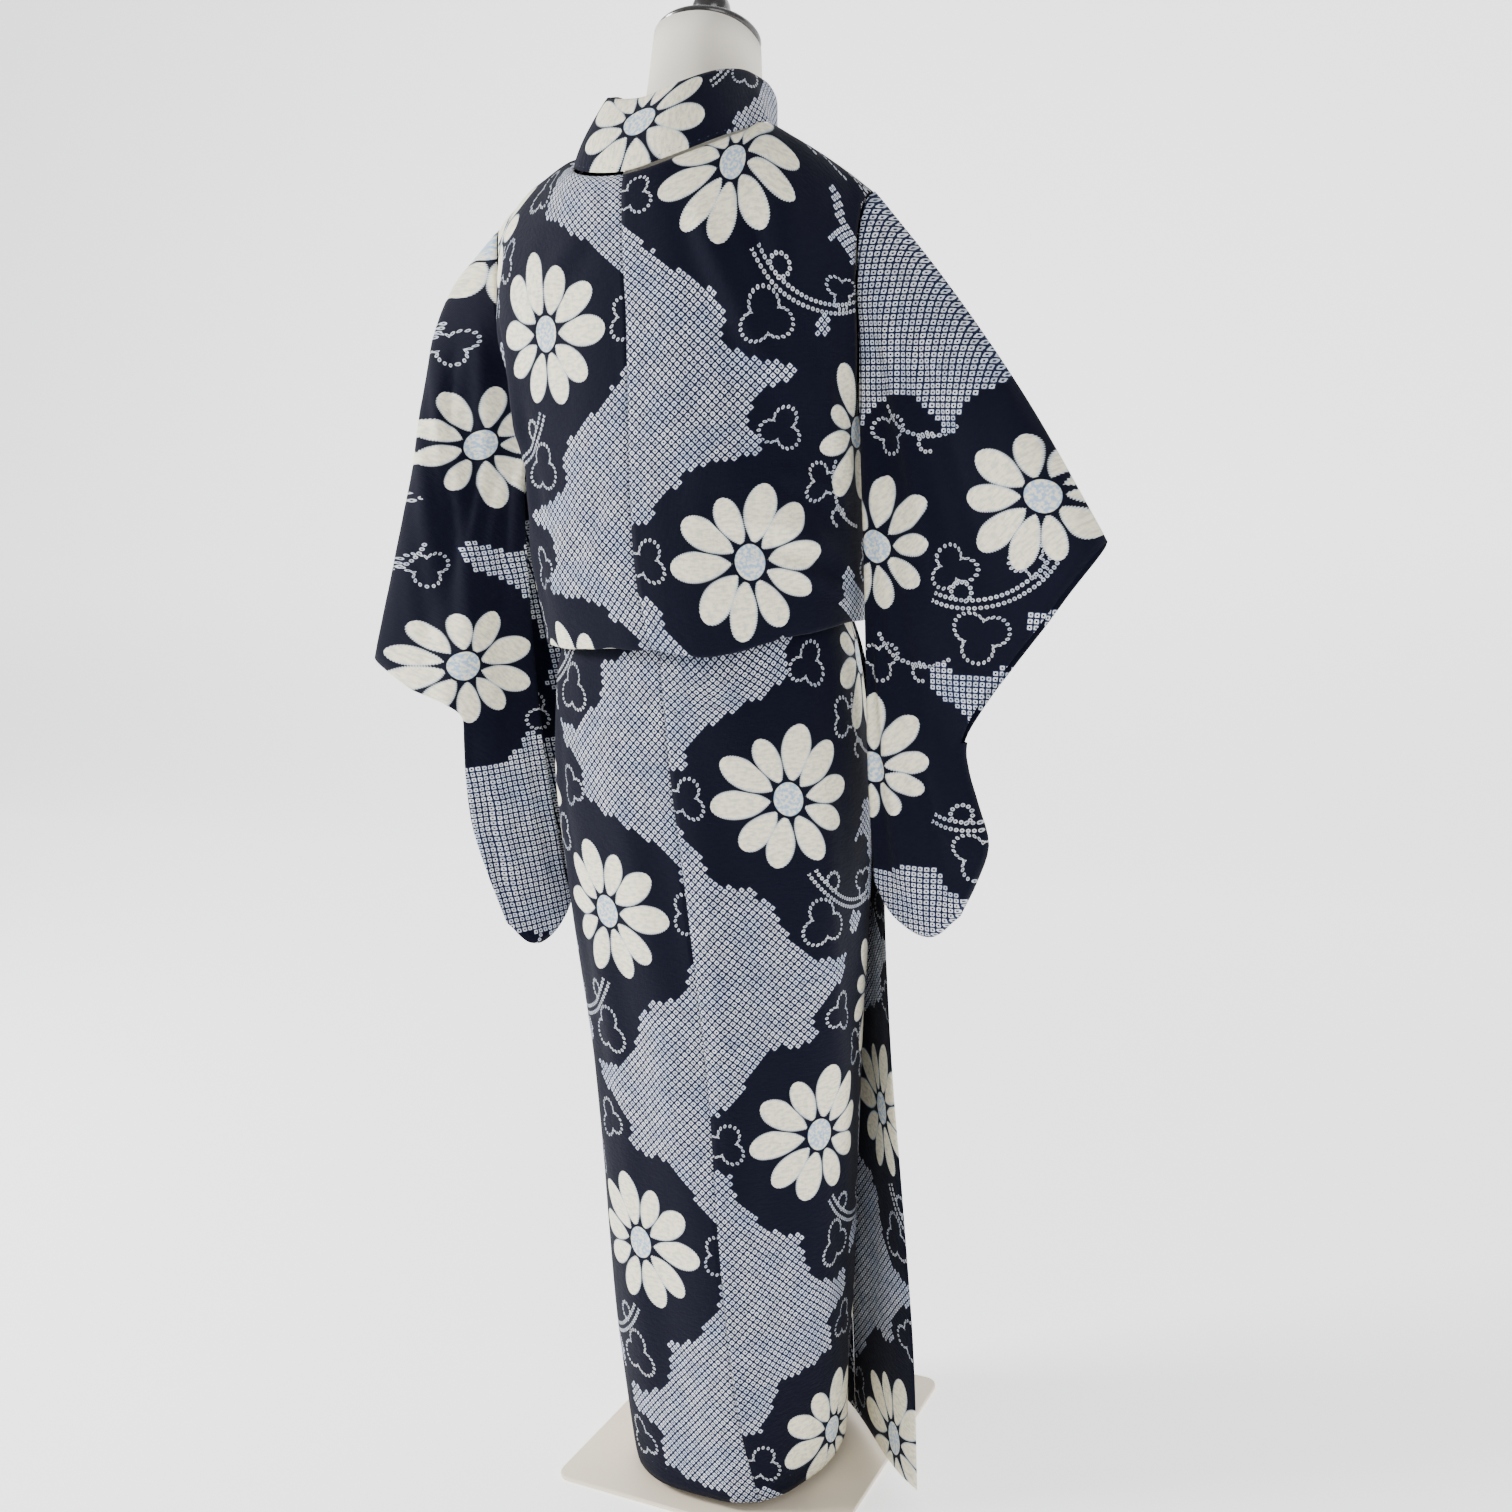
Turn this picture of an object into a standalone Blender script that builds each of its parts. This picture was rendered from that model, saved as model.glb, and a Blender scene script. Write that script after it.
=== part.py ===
"""A cotton yukata robe worn by a limbless dress form on a square base.

Lengths are in metres. X runs to the wearer's left, Y to the wearer's back and Z up. The form's pole stands at
x = y = 0 while the pieces are worked out, and the whole object is then moved by SHIFT, so that its origin is
under the middle of its box. Every cloth piece is a thin wall about a sheet of points. The rows of a body sheet
run round the body, and its columns run along the warp of the cloth.
"""

import bpy
import numpy as np

SHIFT = np.array((0.0231, 0.0, 0.0))

# Walls and gaps.
CLOTH = 0.0016
COLLAR_CLOTH = 0.0024
SEAM_GAP = 0.0003
CORNER_GAP = 0.0020
REST_GAP = 0.0003

# The dress form and its stand.
PLATE_SIDE = 0.300
PLATE_THICK = 0.005
PLATE_CORNER = 0.014
POLE_RADIUS = 0.014
FLANGE_RADIUS = 0.034
FLANGE_TOP = 0.014
FORM_BOTTOM = 0.622
CAP_BASE = np.array((-0.006, -0.060, 1.384))
CAP_TILT = np.radians(18)
CAP_RADIUS = 0.050
CAP_HEIGHT = 0.012
KNOB_RADIUS = 0.0185

# The robe's main sizes.
BACK_WIDTH = 0.285
FRONT_WIDTH = 0.240
OKUMI_WIDTH = 0.150
HEM_HEIGHT = 0.014
TUCK_EDGE = 0.841
TUCK_TOP = 0.884
TUCK_TURN = 0.0036
CHEST = 1.125
WAIST = 0.900
BLOUSE = 0.950
LAYER_STEP = 0.0065
WRIST_OPEN = 0.55


def table(names, *rows):
    """Rows of numbers under their column names, as one array for each column."""
    return dict(zip(names.split(), np.array(rows, float).T))


# Rings of the dress form, from its flat underside to the top of its neck. Lean tips a ring forwards, in degrees.
FORM = table(
    "z mid_x mid_y half_x back front lean",
    (0.622, -0.002, 0.004, 0.118, 0.088, 0.088, 0),
    (0.630, -0.002, 0.004, 0.130, 0.100, 0.099, 0),
    (0.660, -0.002, 0.004, 0.138, 0.108, 0.105, 0),
    (0.720, -0.002, 0.004, 0.142, 0.112, 0.108, 0),
    (0.800, -0.002, 0.003, 0.126, 0.098, 0.092, 0),
    (0.885, -0.002, 0.001, 0.102, 0.078, 0.077, 0),
    (0.960, -0.002, 0.000, 0.116, 0.084, 0.094, 0),
    (1.060, -0.002, 0.000, 0.140, 0.098, 0.118, 0),
    (1.130, -0.002, 0.000, 0.156, 0.102, 0.100, 0),
    (1.185, -0.002, -0.002, 0.166, 0.090, 0.070, 0),
    (1.212, -0.003, -0.006, 0.156, 0.070, 0.056, 0),
    (1.234, -0.005, -0.012, 0.124, 0.056, 0.052, 0),
    (1.254, -0.006, -0.020, 0.088, 0.051, 0.050, 3),
    (1.278, -0.007, -0.030, 0.065, 0.050, 0.050, 7),
    (1.310, -0.007, -0.040, 0.057, 0.051, 0.051, 11),
    (1.384, -0.006, -0.060, 0.048, 0.050, 0.050, 18),
)

# Rings of the cloth above the waist, and of the skirt.
UPPER = table(
    "z mid_x mid_y half_x back front",
    (0.830, -0.002, 0.000, 0.156, 0.134, 0.126),
    (0.885, -0.003, 0.000, 0.161, 0.137, 0.132),
    (0.950, -0.003, 0.000, 0.162, 0.134, 0.137),
    (1.020, -0.002, 0.000, 0.166, 0.130, 0.141),
    (1.080, -0.001, 0.000, 0.180, 0.127, 0.136),
    (1.125, 0.001, 0.000, 0.190, 0.125, 0.127),
)
SKIRT = table(
    "z mid_x mid_y half_x back front",
    (0.014, 0.000, 0.030, 0.104, 0.106, 0.118),
    (0.052, 0.000, 0.030, 0.108, 0.107, 0.118),
    (0.180, 0.000, 0.026, 0.1195, 0.110, 0.119),
    (0.280, -0.001, 0.021, 0.125, 0.113, 0.120),
    (0.380, -0.002, 0.016, 0.130, 0.116, 0.122),
    (0.480, -0.002, 0.012, 0.138, 0.120, 0.124),
    (0.600, -0.001, 0.008, 0.150, 0.124, 0.125),
    (0.750, -0.002, 0.006, 0.154, 0.126, 0.122),
    (0.840, -0.002, 0.004, 0.141, 0.114, 0.110),
    (0.890, -0.002, 0.002, 0.120, 0.096, 0.094),
)
# The centre back seam's x at each height.
SEAM = table(
    "z x",
    (0.014, -0.065),
    (0.080, -0.056),
    (0.280, -0.045),
    (0.430, -0.043),
    (0.560, -0.037),
    (0.730, -0.027),
    (0.830, -0.018),
    (0.885, -0.010),
    (1.086, -0.008),
    (1.240, -0.014),
)
# Where the back and front panels end at the side above the waist, and where the collar is sewn on in front.
# Turns are in degrees from the middle of the back. The left front lies over the right one.
SIDE = table(
    "z back over under",
    (0.830, 116.0, 116.4, 118.0),
    (0.900, 114.0, 114.4, 118.0),
    (0.960, 104.0, 104.5, 104.6),
    (1.040, 86.0, 93.0, 93.0),
    (1.125, 76.0, 98.0, 98.0),
)
SIDE_AT_WAIST = 117.0
COLLAR_TURN = table(
    "z left right",
    (0.830, 236.0, 214.0),
    (0.885, 231.0, 212.0),
    (0.950, 214.0, 203.0),
    (1.008, 198.0, 192.0),
    (1.067, 182.0, 179.0),
    (1.125, 168.0, 166.0),
)
# The strip between front and collar widens downwards from its tip.
OKUMI_TIP = 1.058
STRIP = table(
    "z left right",
    (0.830, 0.150, 0.090),
    (0.885, 0.118, 0.078),
    (1.000, 0.040, 0.030),
    (1.060, 0.004, 0.004),
)

# The free edge of the over side below the tuck: where it leaves the body, and the way it points at its end.
OVER_EDGE = table(
    "z x y leave heading",
    (0.014, -0.200, 0.047, 212.0, 150.0),
    (0.133, -0.197, 0.034, 214.0, 147.0),
    (0.292, -0.184, 0.014, 219.0, 138.0),
    (0.427, -0.171, -0.004, 223.0, 128.0),
    (0.580, -0.163, -0.022, 229.0, 112.0),
    (0.750, -0.157, -0.040, 229.0, 104.0),
    (0.840, -0.127, -0.062, 224.0, 112.0),
    (0.890, -0.110, -0.060, 220.0, 114.0),
)
UNDER_EDGE = table("z turn", (0.014, 262.0), (0.600, 264.0), (0.780, 252.0), (0.900, 236.0))

# The collar round the neck, seam and free edge, from the middle of the back (step 0) over the shoulder (step 3)
# to the chest (step 6) and the collar's end (step 9). Steps on the wearer's right are negative. In front the
# seam follows the sheets.
NECK = table(
    "step x y z",
    (-3, -0.103, 0.020, 1.284),
    (-2, -0.090, 0.076, 1.266),
    (-1, -0.058, 0.111, 1.249),
    (0, -0.014, 0.121, 1.240),
    (1, 0.034, 0.111, 1.248),
    (2, 0.064, 0.076, 1.264),
    (3, 0.079, 0.022, 1.281),
)
COLLAR_EDGE = table(
    "step x y z",
    (-9, 0.110, -0.096, 0.975),
    (-8, 0.084, -0.117, 1.036),
    (-7, 0.052, -0.126, 1.098),
    (-6, 0.002, -0.121, 1.158),
    (-5, -0.018, -0.099, 1.245),
    (-4, -0.077, -0.054, 1.314),
    (-3, -0.082, -0.002, 1.332),
    (-2, -0.074, 0.046, 1.328),
    (-1, -0.051, 0.080, 1.315),
    (0, -0.018, 0.088, 1.306),
    (1, 0.018, 0.080, 1.312),
    (2, 0.038, 0.051, 1.322),
    (3, 0.048, 0.005, 1.330),
    (4, 0.056, -0.050, 1.313),
    (5, 0.014, -0.108, 1.243),
    (6, -0.004, -0.137, 1.158),
    (7, -0.074, -0.141, 1.074),
    (8, -0.128, -0.103, 0.996),
    (9, -0.163, -0.050, 0.915),
)
COLLAR_END = {1: 0.885, -1: 0.950}

# Outer ends of the shoulder lines.
TIP = {1: np.array((0.203, 0.000, 1.236)), -1: np.array((-0.190, 0.000, 1.218))}

# Edges of the sleeves, midway between their two layers. Way runs from 0 to 1 along each edge.
SLEEVE_TOP = {
    1: table(
        "way x y z",
        (0.00, 0.203, 0.000, 1.236),
        (0.30, 0.270, 0.014, 1.166),
        (0.65, 0.304, 0.045, 1.000),
        (1.00, 0.345, 0.075, 0.829),
    ),
    -1: table(
        "way x y z",
        (0.00, -0.190, 0.000, 1.218),
        (0.30, -0.252, 0.004, 1.138),
        (0.65, -0.325, 0.010, 1.030),
        (1.00, -0.391, 0.012, 0.911),
    ),
}
SLEEVE_WRIST = {
    1: table(
        "way x y z",
        (0.00, 0.345, 0.075, 0.829),
        (0.30, 0.288, 0.082, 0.796),
        (0.55, 0.230, 0.086, 0.766),
        (0.70, 0.234, 0.084, 0.715),
        (0.85, 0.230, 0.082, 0.645),
        (1.00, 0.203, 0.078, 0.558),
    ),
    -1: table(
        "way x y z",
        (0.00, -0.391, 0.012, 0.911),
        (0.30, -0.338, 0.016, 0.846),
        (0.55, -0.262, 0.020, 0.741),
        (0.70, -0.267, 0.020, 0.698),
        (0.85, -0.279, 0.022, 0.646),
        (1.00, -0.252, 0.022, 0.586),
    ),
}
SLEEVE_BOTTOM = {
    1: table(
        "way x y z",
        (0.00, 0.162, 0.022, 0.588),
        (0.30, 0.170, 0.040, 0.551),
        (0.60, 0.182, 0.062, 0.535),
        (1.00, 0.203, 0.078, 0.558),
    ),
    -1: table(
        "way x y z",
        (0.00, -0.172, 0.012, 0.612),
        (0.30, -0.190, 0.016, 0.580),
        (0.60, -0.220, 0.020, 0.564),
        (1.00, -0.252, 0.022, 0.586),
    ),
}
# Below the armhole, the open edge beside the body, and how far its two layers stand apart from the middle.
SLEEVE_BODY = {
    1: table(
        "z x y apart",
        (0.588, 0.162, 0.022, 0.010),
        (0.700, 0.171, 0.018, 0.020),
        (0.800, 0.174, 0.016, 0.024),
        (0.900, 0.177, 0.012, 0.024),
        (0.980, 0.178, 0.006, 0.026),
    ),
    -1: table(
        "z x y apart",
        (0.612, -0.172, 0.012, 0.010),
        (0.700, -0.175, 0.012, 0.020),
        (0.800, -0.177, 0.010, 0.022),
        (0.900, -0.179, 0.008, 0.022),
        (0.980, -0.180, 0.006, 0.024),
    ),
}
ARMHOLE_END = 1.030
WRIST_APART = 0.014
CLOSED_APART = 0.005
SLEEVE_BULGE = 0.007
FOLD_OUT = 0.004
SLEEVE_DOWN = (0.0, 0.03, 0.08, 0.15, 0.23, 0.31, 0.39, 0.47, WRIST_OPEN, 0.64, 0.74, 0.84, 0.93, 1.0)
SLEEVE_ACROSS = 10

# Large soft folds, from their upper to their lower end. Arcs are lengths round the body from the centre back.
BACK_FOLDS = table(
    "arc_top z_top arc_low z_low width height",
    (0.150, 1.130, 0.168, 0.870, 0.016, 0.007),
    (0.196, 1.100, 0.205, 0.900, 0.018, -0.008),
    (-0.118, 1.190, -0.205, 0.960, 0.022, 0.007),
    (-0.060, 1.010, -0.190, 0.900, 0.020, 0.005),
    (-0.070, 0.930, -0.160, 0.860, 0.014, -0.004),
    (0.050, 0.960, 0.110, 0.860, 0.020, 0.004),
)
SKIRT_FOLDS = table(
    "arc_top z_top arc_low z_low width height",
    (0.000, 0.420, 0.006, -0.060, 0.034, 0.005),
    (-0.070, 0.700, -0.052, -0.060, 0.026, -0.004),
    (0.075, 0.640, 0.062, -0.060, 0.030, -0.004),
    (-0.130, 0.780, -0.110, 0.200, 0.024, 0.003),
)

SKIRT_ROWS = (0.866, 0.845, 0.815, 0.77, 0.71, 0.64, 0.56, 0.48, 0.40, 0.32, 0.24, 0.16, 0.09, 0.045, HEM_HEIGHT)
BACK_NECK_COLUMNS = 7
BACK_SHOULDER_COLUMNS = 5
NECK_SHARE = 0.557
FRONT_COLUMNS = 9
OKUMI_COLUMNS = 6
SHOULDER_ROWS = 6
FORM_SIDES = 40

RING_COLUMNS = ("mid_x", "mid_y", "half_x", "back", "front")
ROUNDNESS = 2.2
TURNS = np.linspace(-2 * np.pi, 2 * np.pi, 721)
SHARES = np.linspace(0, 1, 61)


def smooth(columns, key, name, at):
    """The named column, read from a smooth curve through the table's rows."""
    keys = columns[key]
    values = columns[name]
    at = np.clip(np.asarray(at, float), keys[0], keys[-1])
    slopes = np.gradient(values, keys)
    low = np.clip(np.searchsorted(keys, at) - 1, 0, len(keys) - 2)
    span = keys[low + 1] - keys[low]
    t = (at - keys[low]) / span
    across = (1 - t) ** 2 * (1 + 2 * t) * values[low] + t**2 * (3 - 2 * t) * values[low + 1]
    return across + span * t * (1 - t) * ((1 - t) * slopes[low] - t * slopes[low + 1])


def ease(t):
    """0 to 1 with a soft start and a soft end."""
    t = np.clip(t, 0.0, 1.0)
    return t * t * (3 - 2 * t)


def unit(vectors):
    """Vectors of length 1."""
    return vectors / np.linalg.norm(vectors, axis=-1)[..., None]


def line_at(columns, key, at):
    """Points of a table's x, y and z columns."""
    return np.stack([smooth(columns, key, name, at) for name in "xyz"], axis=-1)


def length_of(points):
    """The length of a line of points."""
    return np.linalg.norm(np.diff(points, axis=0), axis=1).sum()


def resampled(points, shares):
    """Points at shares of the way along a line of points."""
    walked = np.concatenate([[0.0], np.cumsum(np.linalg.norm(np.diff(points, axis=0), axis=1))])
    at = np.asarray(shares) * walked[-1]
    return np.stack([np.interp(at, walked, points[:, axis]) for axis in range(points.shape[1])], axis=-1)


def ring_at(columns, z):
    """The ring's five sizes at a height."""
    return np.array([smooth(columns, "z", name, z) for name in RING_COLUMNS])


def grown(sizes, by):
    """A ring that stands further out by a distance."""
    return sizes + np.array((0, 0, by, by, by))


def on_ring(sizes, turn):
    """Points of a ring. Turn is in radians from the middle of the back and grows to the wearer's left."""
    mid_x, mid_y, half_x, back, front = sizes
    across = np.sin(turn)
    along = np.cos(turn)
    power = 2 / ROUNDNESS
    x = mid_x + half_x * np.sign(across) * np.abs(across) ** power
    y = mid_y + np.where(along > 0, back, front) * np.sign(along) * np.abs(along) ** power
    return np.stack([x, y], axis=-1)


def ring_walk(sizes, z):
    """Lengths round the ring from the centre back seam, for each of TURNS."""
    points = on_ring(sizes, TURNS)
    walked = np.concatenate([[0.0], np.cumsum(np.linalg.norm(np.diff(points, axis=0), axis=1))])
    back = np.abs(TURNS) < np.pi / 2
    return walked - np.interp(smooth(SEAM, "z", "x", z), points[back, 0], walked[back])


def ring_points(sizes, z, arcs):
    """Points of the ring at lengths from the centre back seam, growing to the wearer's left."""
    return on_ring(sizes, np.interp(arcs, ring_walk(sizes, z), TURNS))


def arc_at(sizes, z, degrees):
    """The length from the centre back seam to a turn."""
    return np.interp(np.radians(degrees), TURNS, ring_walk(sizes, z))


def pushed(points, sizes, by):
    """Points moved outwards from the middle of their ring."""
    return points + unit(points - sizes[:2]) * by[:, None]


def fold_heights(folds, arc, z):
    """How far the large folds lift the cloth at points given by arc and height."""
    lift = np.zeros(np.shape(arc))
    for arc_top, z_top, arc_low, z_low, width, height in zip(*folds.values()):
        t = (z_top - z) / (z_top - z_low)
        centre = arc_top + (arc_low - arc_top) * t
        fade = ease(t / 0.25) * ease((1.05 - t) / 0.25)
        lift = lift + height * fade * np.exp(-(((arc - centre) / width) ** 2))
    return lift


def tuck_rows():
    """Rows of a sheet that folds over at the waist, as ring sizes, height and whether the row is skirt."""
    rows = [(ring_at(UPPER, z), z, False) for z in np.linspace(CHEST, TUCK_EDGE + 0.012, 9)]
    edge = ring_at(UPPER, TUCK_EDGE)
    for turn in np.radians((10, 60, 120, 170)):
        rows.append((grown(edge, -TUCK_TURN * (1 - np.cos(turn))), TUCK_EDGE - TUCK_TURN * np.sin(turn), False))
    inner_low = grown(edge, -2 * TUCK_TURN)
    inner_top = grown(ring_at(SKIRT, TUCK_TOP), 2 * TUCK_TURN)
    for share in (0.3, 0.65):
        height = TUCK_EDGE + (TUCK_TOP - TUCK_EDGE) * share
        rows.append((inner_low + (inner_top - inner_low) * share, height, False))
    for turn in np.radians((10, 60, 120, 170)):
        rows.append((grown(inner_top, -TUCK_TURN * (1 - np.cos(turn))), TUCK_TOP + TUCK_TURN * np.sin(turn), True))
    return rows + [(ring_at(SKIRT, z), z, True) for z in SKIRT_ROWS]


def plain_rows():
    """Rows of the under front, which goes straight from the chest to the waist and hides under the over front."""
    rows = [(ring_at(UPPER, z), z, False) for z in np.linspace(CHEST, BLOUSE, 7)]
    blouse = ring_at(UPPER, BLOUSE)
    waist = ring_at(SKIRT, TUCK_TOP)
    for share in (0.3, 0.65, 1.0):
        rows.append((blouse + (waist - blouse) * ease(share), BLOUSE + (WAIST - BLOUSE) * share, False))
    return rows + [(ring_at(SKIRT, z), z, True) for z in (TUCK_TOP,) + SKIRT_ROWS]


def side_arc(sign, panel, sizes, z, skirt):
    """Length from the centre back seam to the panel's side edge."""
    if skirt:
        turn = SIDE_AT_WAIST + 60 * ease((0.76 - z) / 0.2)
        return sign * min(BACK_WIDTH, abs(arc_at(sizes, z, sign * turn)))
    reach = abs(arc_at(sizes, z, sign * smooth(SIDE, "z", panel, z)))
    if panel == "back" or z < ARMHOLE_END:
        reach = min(reach, BACK_WIDTH)
    return sign * reach


def lowered_tuck(points, z):
    """Heights of a row's points, with the tuck's uneven edge worked in near the waist."""
    near = ease((z - TUCK_EDGE + 0.07) / 0.05) * ease((TUCK_EDGE + 0.055 - z) / 0.05)
    dip = -0.008 * np.exp(-(((points[:, 0] + 0.068) / 0.034) ** 2)) * ease(points[:, 1] / 0.03)
    rise = 0.010 * ease((-points[:, 0] - 0.10) / 0.06)
    return z + near * (dip + rise)


def shoulder_line(sign, side, shares):
    """The line from the collar out to the shoulder's tip, slightly arched. Side is +1 for the back panel."""
    neck = line_at(NECK, "step", 3.0 * sign)
    points = neck + (TIP[sign] - neck) * shares[:, None]
    points[:, 1] += side * (SEAM_GAP / 2 + 0.65 * CLOTH * ease(shares / 0.7))
    points[:, 2] += 0.004 * np.sin(np.pi * shares)
    return points


def over_shoulder(top, chest_row):
    """Rows that round the shoulder from a top line to the row at the chest."""
    rows = []
    for way in np.linspace(0, np.pi / 2, SHOULDER_ROWS, endpoint=False):
        row = top.copy()
        row[:, :2] += (chest_row[:, :2] - top[:, :2]) * np.sin(way)
        row[:, 2] += (chest_row[:, 2] - top[:, 2]) * (1 - np.cos(way))
        rows.append(row)
    return rows


def back_sheet(sign):
    """A back panel, from the shoulder over the tuck to the hem. Sign is +1 on the wearer's left."""
    neck_shares = np.linspace(0, NECK_SHARE, BACK_NECK_COLUMNS)
    out_shares = np.linspace(NECK_SHARE, 1, BACK_SHOULDER_COLUMNS)[1:]
    shares = np.concatenate([neck_shares, out_shares])
    rows = []
    for sizes, z, skirt in tuck_rows():
        arcs = sign * SEAM_GAP / 2 + side_arc(sign, "back", sizes, z, skirt) * shares
        points = ring_points(sizes, z, arcs)
        heights = lowered_tuck(points, z)
        lift = fold_heights(SKIRT_FOLDS if skirt else BACK_FOLDS, arcs, z)
        calm = 1 - 0.75 * ease((TUCK_TOP + 0.005 - z) / 0.03) * (z > 0.80)
        rows.append(np.column_stack([pushed(points, sizes, lift * calm), heights]))
    neck = line_at(NECK, "step", 3 * sign * neck_shares / NECK_SHARE)
    neck[:-1, 2] -= CORNER_GAP
    line = shoulder_line(sign, 1, (out_shares - NECK_SHARE) / (1 - NECK_SHARE))
    top = np.concatenate([neck, line])
    top[0, 0] += sign * SEAM_GAP / 2
    top[:BACK_NECK_COLUMNS, 1] += SEAM_GAP / 2
    return np.array(over_shoulder(top, rows[0]) + rows)


def over_line(sizes, z, skirt):
    """The over side's row in plan, from the side seam to its free edge or its collar."""
    begin = side_arc(1, "over", sizes, z, skirt) + SEAM_GAP
    turn = smooth(OVER_EDGE, "z", "leave", z) if skirt else smooth(COLLAR_TURN, "z", "left", z)
    end = arc_at(sizes, z, turn)
    points = ring_points(sizes, z, begin + (end - begin) * SHARES)
    points = pushed(points, sizes, LAYER_STEP * ease(SHARES))
    if not skirt:
        return points
    free = np.array((smooth(OVER_EDGE, "z", "x", z), smooth(OVER_EDGE, "z", "y", z)))
    free += unit(free - sizes[:2]) * (sizes[2] - smooth(SKIRT, "z", "half_x", z))
    heading = np.radians(smooth(OVER_EDGE, "z", "heading", z))
    reach = np.linalg.norm(free - points[-1]) / 3
    way = points[-1] - points[-2]
    first = points[-1] + reach * way / np.linalg.norm(way)
    second = free - reach * np.array((np.cos(heading), np.sin(heading)))
    t = SHARES[1:, None]
    flare = (1 - t) ** 3 * points[-1] + 3 * (1 - t) ** 2 * t * first + 3 * (1 - t) * t**2 * second + t**3 * free
    return np.concatenate([points, flare])


def under_line(sizes, z, skirt):
    """The under side's row in plan, from the side seam to its free edge or its collar."""
    begin = side_arc(-1, "under", sizes, z, skirt) - SEAM_GAP
    turn = smooth(UNDER_EDGE, "z", "turn", z) if skirt else smooth(COLLAR_TURN, "z", "right", z)
    end = arc_at(sizes, z, -turn)
    points = ring_points(sizes, z, begin + (end - begin) * SHARES)
    return pushed(points, sizes, -LAYER_STEP * ease(SHARES * 1.6))


def front_share(over, length, z, skirt):
    """The share of a row that the front panel takes. The strip beside it takes the rest."""
    if skirt:
        return FRONT_WIDTH / (FRONT_WIDTH + OKUMI_WIDTH)
    return 1 - smooth(STRIP, "z", "left" if over else "right", z) / length if z < OKUMI_TIP else 1.0


def front_sheets(over):
    """The front panel and the strip beside it, as two grids of points."""
    front = []
    strip = []
    for sizes, z, skirt in tuck_rows() if over else plain_rows():
        line = over_line(sizes, z, skirt) if over else under_line(sizes, z, skirt)
        length = length_of(line)
        share = front_share(over, length, z, skirt)
        plans = [(front, np.linspace(0, share, FRONT_COLUMNS))]
        if share < 1:
            plans.append((strip, np.linspace(share + 3 * SEAM_GAP / length, 1, OKUMI_COLUMNS)))
        for rows, shares in plans:
            plan = resampled(line, shares)
            heights = lowered_tuck(plan, z) if over else np.full(len(plan), z)
            rows.append(np.column_stack([plan, heights]))
    top = shoulder_line(1 if over else -1, -1, np.linspace(1, 0, FRONT_COLUMNS))
    return np.array(over_shoulder(top, front[0]) + front), np.array(strip)


def collar_seam(sign, front, strip):
    """Seam points from the middle of the back to the collar's end, and their steps."""
    steps = np.linspace(0, 3, 9)
    down = front[1:, -1]
    edge = np.concatenate([down[down[:, 2] > strip[0, -1, 2] + 0.001], strip[:, -1]])
    edge = edge[: np.argmax(edge[:, 2] < COLLAR_END[sign] - 0.001)]
    top = front[0, -1, 2]
    bend = np.arccos(np.clip((edge[:, 2] - CHEST) / (top - CHEST), 0, 1)) / (np.pi / 2)
    below = (CHEST - edge[:, 2]) / (CHEST - COLLAR_END[sign])
    front_steps = np.where(edge[:, 2] > CHEST, 3 + 3 * bend, 6 + 3 * below)
    return np.concatenate([line_at(NECK, "step", sign * steps), edge]), np.concatenate([steps, front_steps])


def collar_sheet(sheets):
    """The collar, from its end on the left front round the neck to its end on the right front."""
    halves = {}
    for sign in (1, -1):
        seam, steps = collar_seam(sign, *sheets[sign])
        edge = line_at(COLLAR_EDGE, "step", sign * steps)
        across = edge - seam
        seam = seam + 0.6 * CORNER_GAP * unit(across)
        bow = np.array((0.0, 0.006, 0.0)) * ease((3.5 - steps) / 3)[:, None]
        halves[sign] = np.stack([seam, (2 * seam + edge) / 3 + bow, (seam + 2 * edge) / 3 + bow, edge], axis=1)
    return np.concatenate([halves[1][::-1], halves[-1][1:]])


def sleeve_layer(sign, side, panel):
    """One layer of a sleeve. Side is +1 for the back layer, and panel is the body sheet it is sewn to."""
    down = np.array(SLEEVE_DOWN)
    across = np.linspace(0, 1, SLEEVE_ACROSS)
    seam = panel[:, -1] if side > 0 else panel[:, 0]
    armhole = seam[seam[:, 2] > ARMHOLE_END] + np.array((sign * CORNER_GAP, 0, 0))
    heights = np.linspace(SLEEVE_BODY[sign]["z"][-1], SLEEVE_BODY[sign]["z"][0], 12)
    x, y, apart = (smooth(SLEEVE_BODY[sign], "z", name, heights) for name in ("x", "y", "apart"))
    body = resampled(np.concatenate([armhole, np.column_stack([x, y + side * apart, heights])]), down)
    apart = np.where(down < WRIST_OPEN, WRIST_APART, CLOSED_APART)
    apart = apart * np.sqrt(np.clip(1 - (1 - np.clip(down / 0.12, 0, 1)) ** 2, 0, 1))
    wrist = line_at(SLEEVE_WRIST[sign], "way", down)
    wrist[:, 1] += side * apart
    top = line_at(SLEEVE_TOP[sign], "way", across)
    bottom = line_at(SLEEVE_BOTTOM[sign], "way", across)
    s = across[None, :, None]
    t = down[:, None, None]
    from_top = top - (top[0] + (top[-1] - top[0]) * across[:, None])
    from_low = bottom - (bottom[0] + (bottom[-1] - bottom[0]) * across[:, None])
    sheet = (1 - s) * body[:, None] + s * wrist[:, None] + (1 - t) * from_top + t * from_low
    sheet[..., 1] += side * SLEEVE_BULGE * np.sin(np.pi * s[..., 0]) * np.sin(np.pi * t[..., 0])
    return sheet


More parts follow.
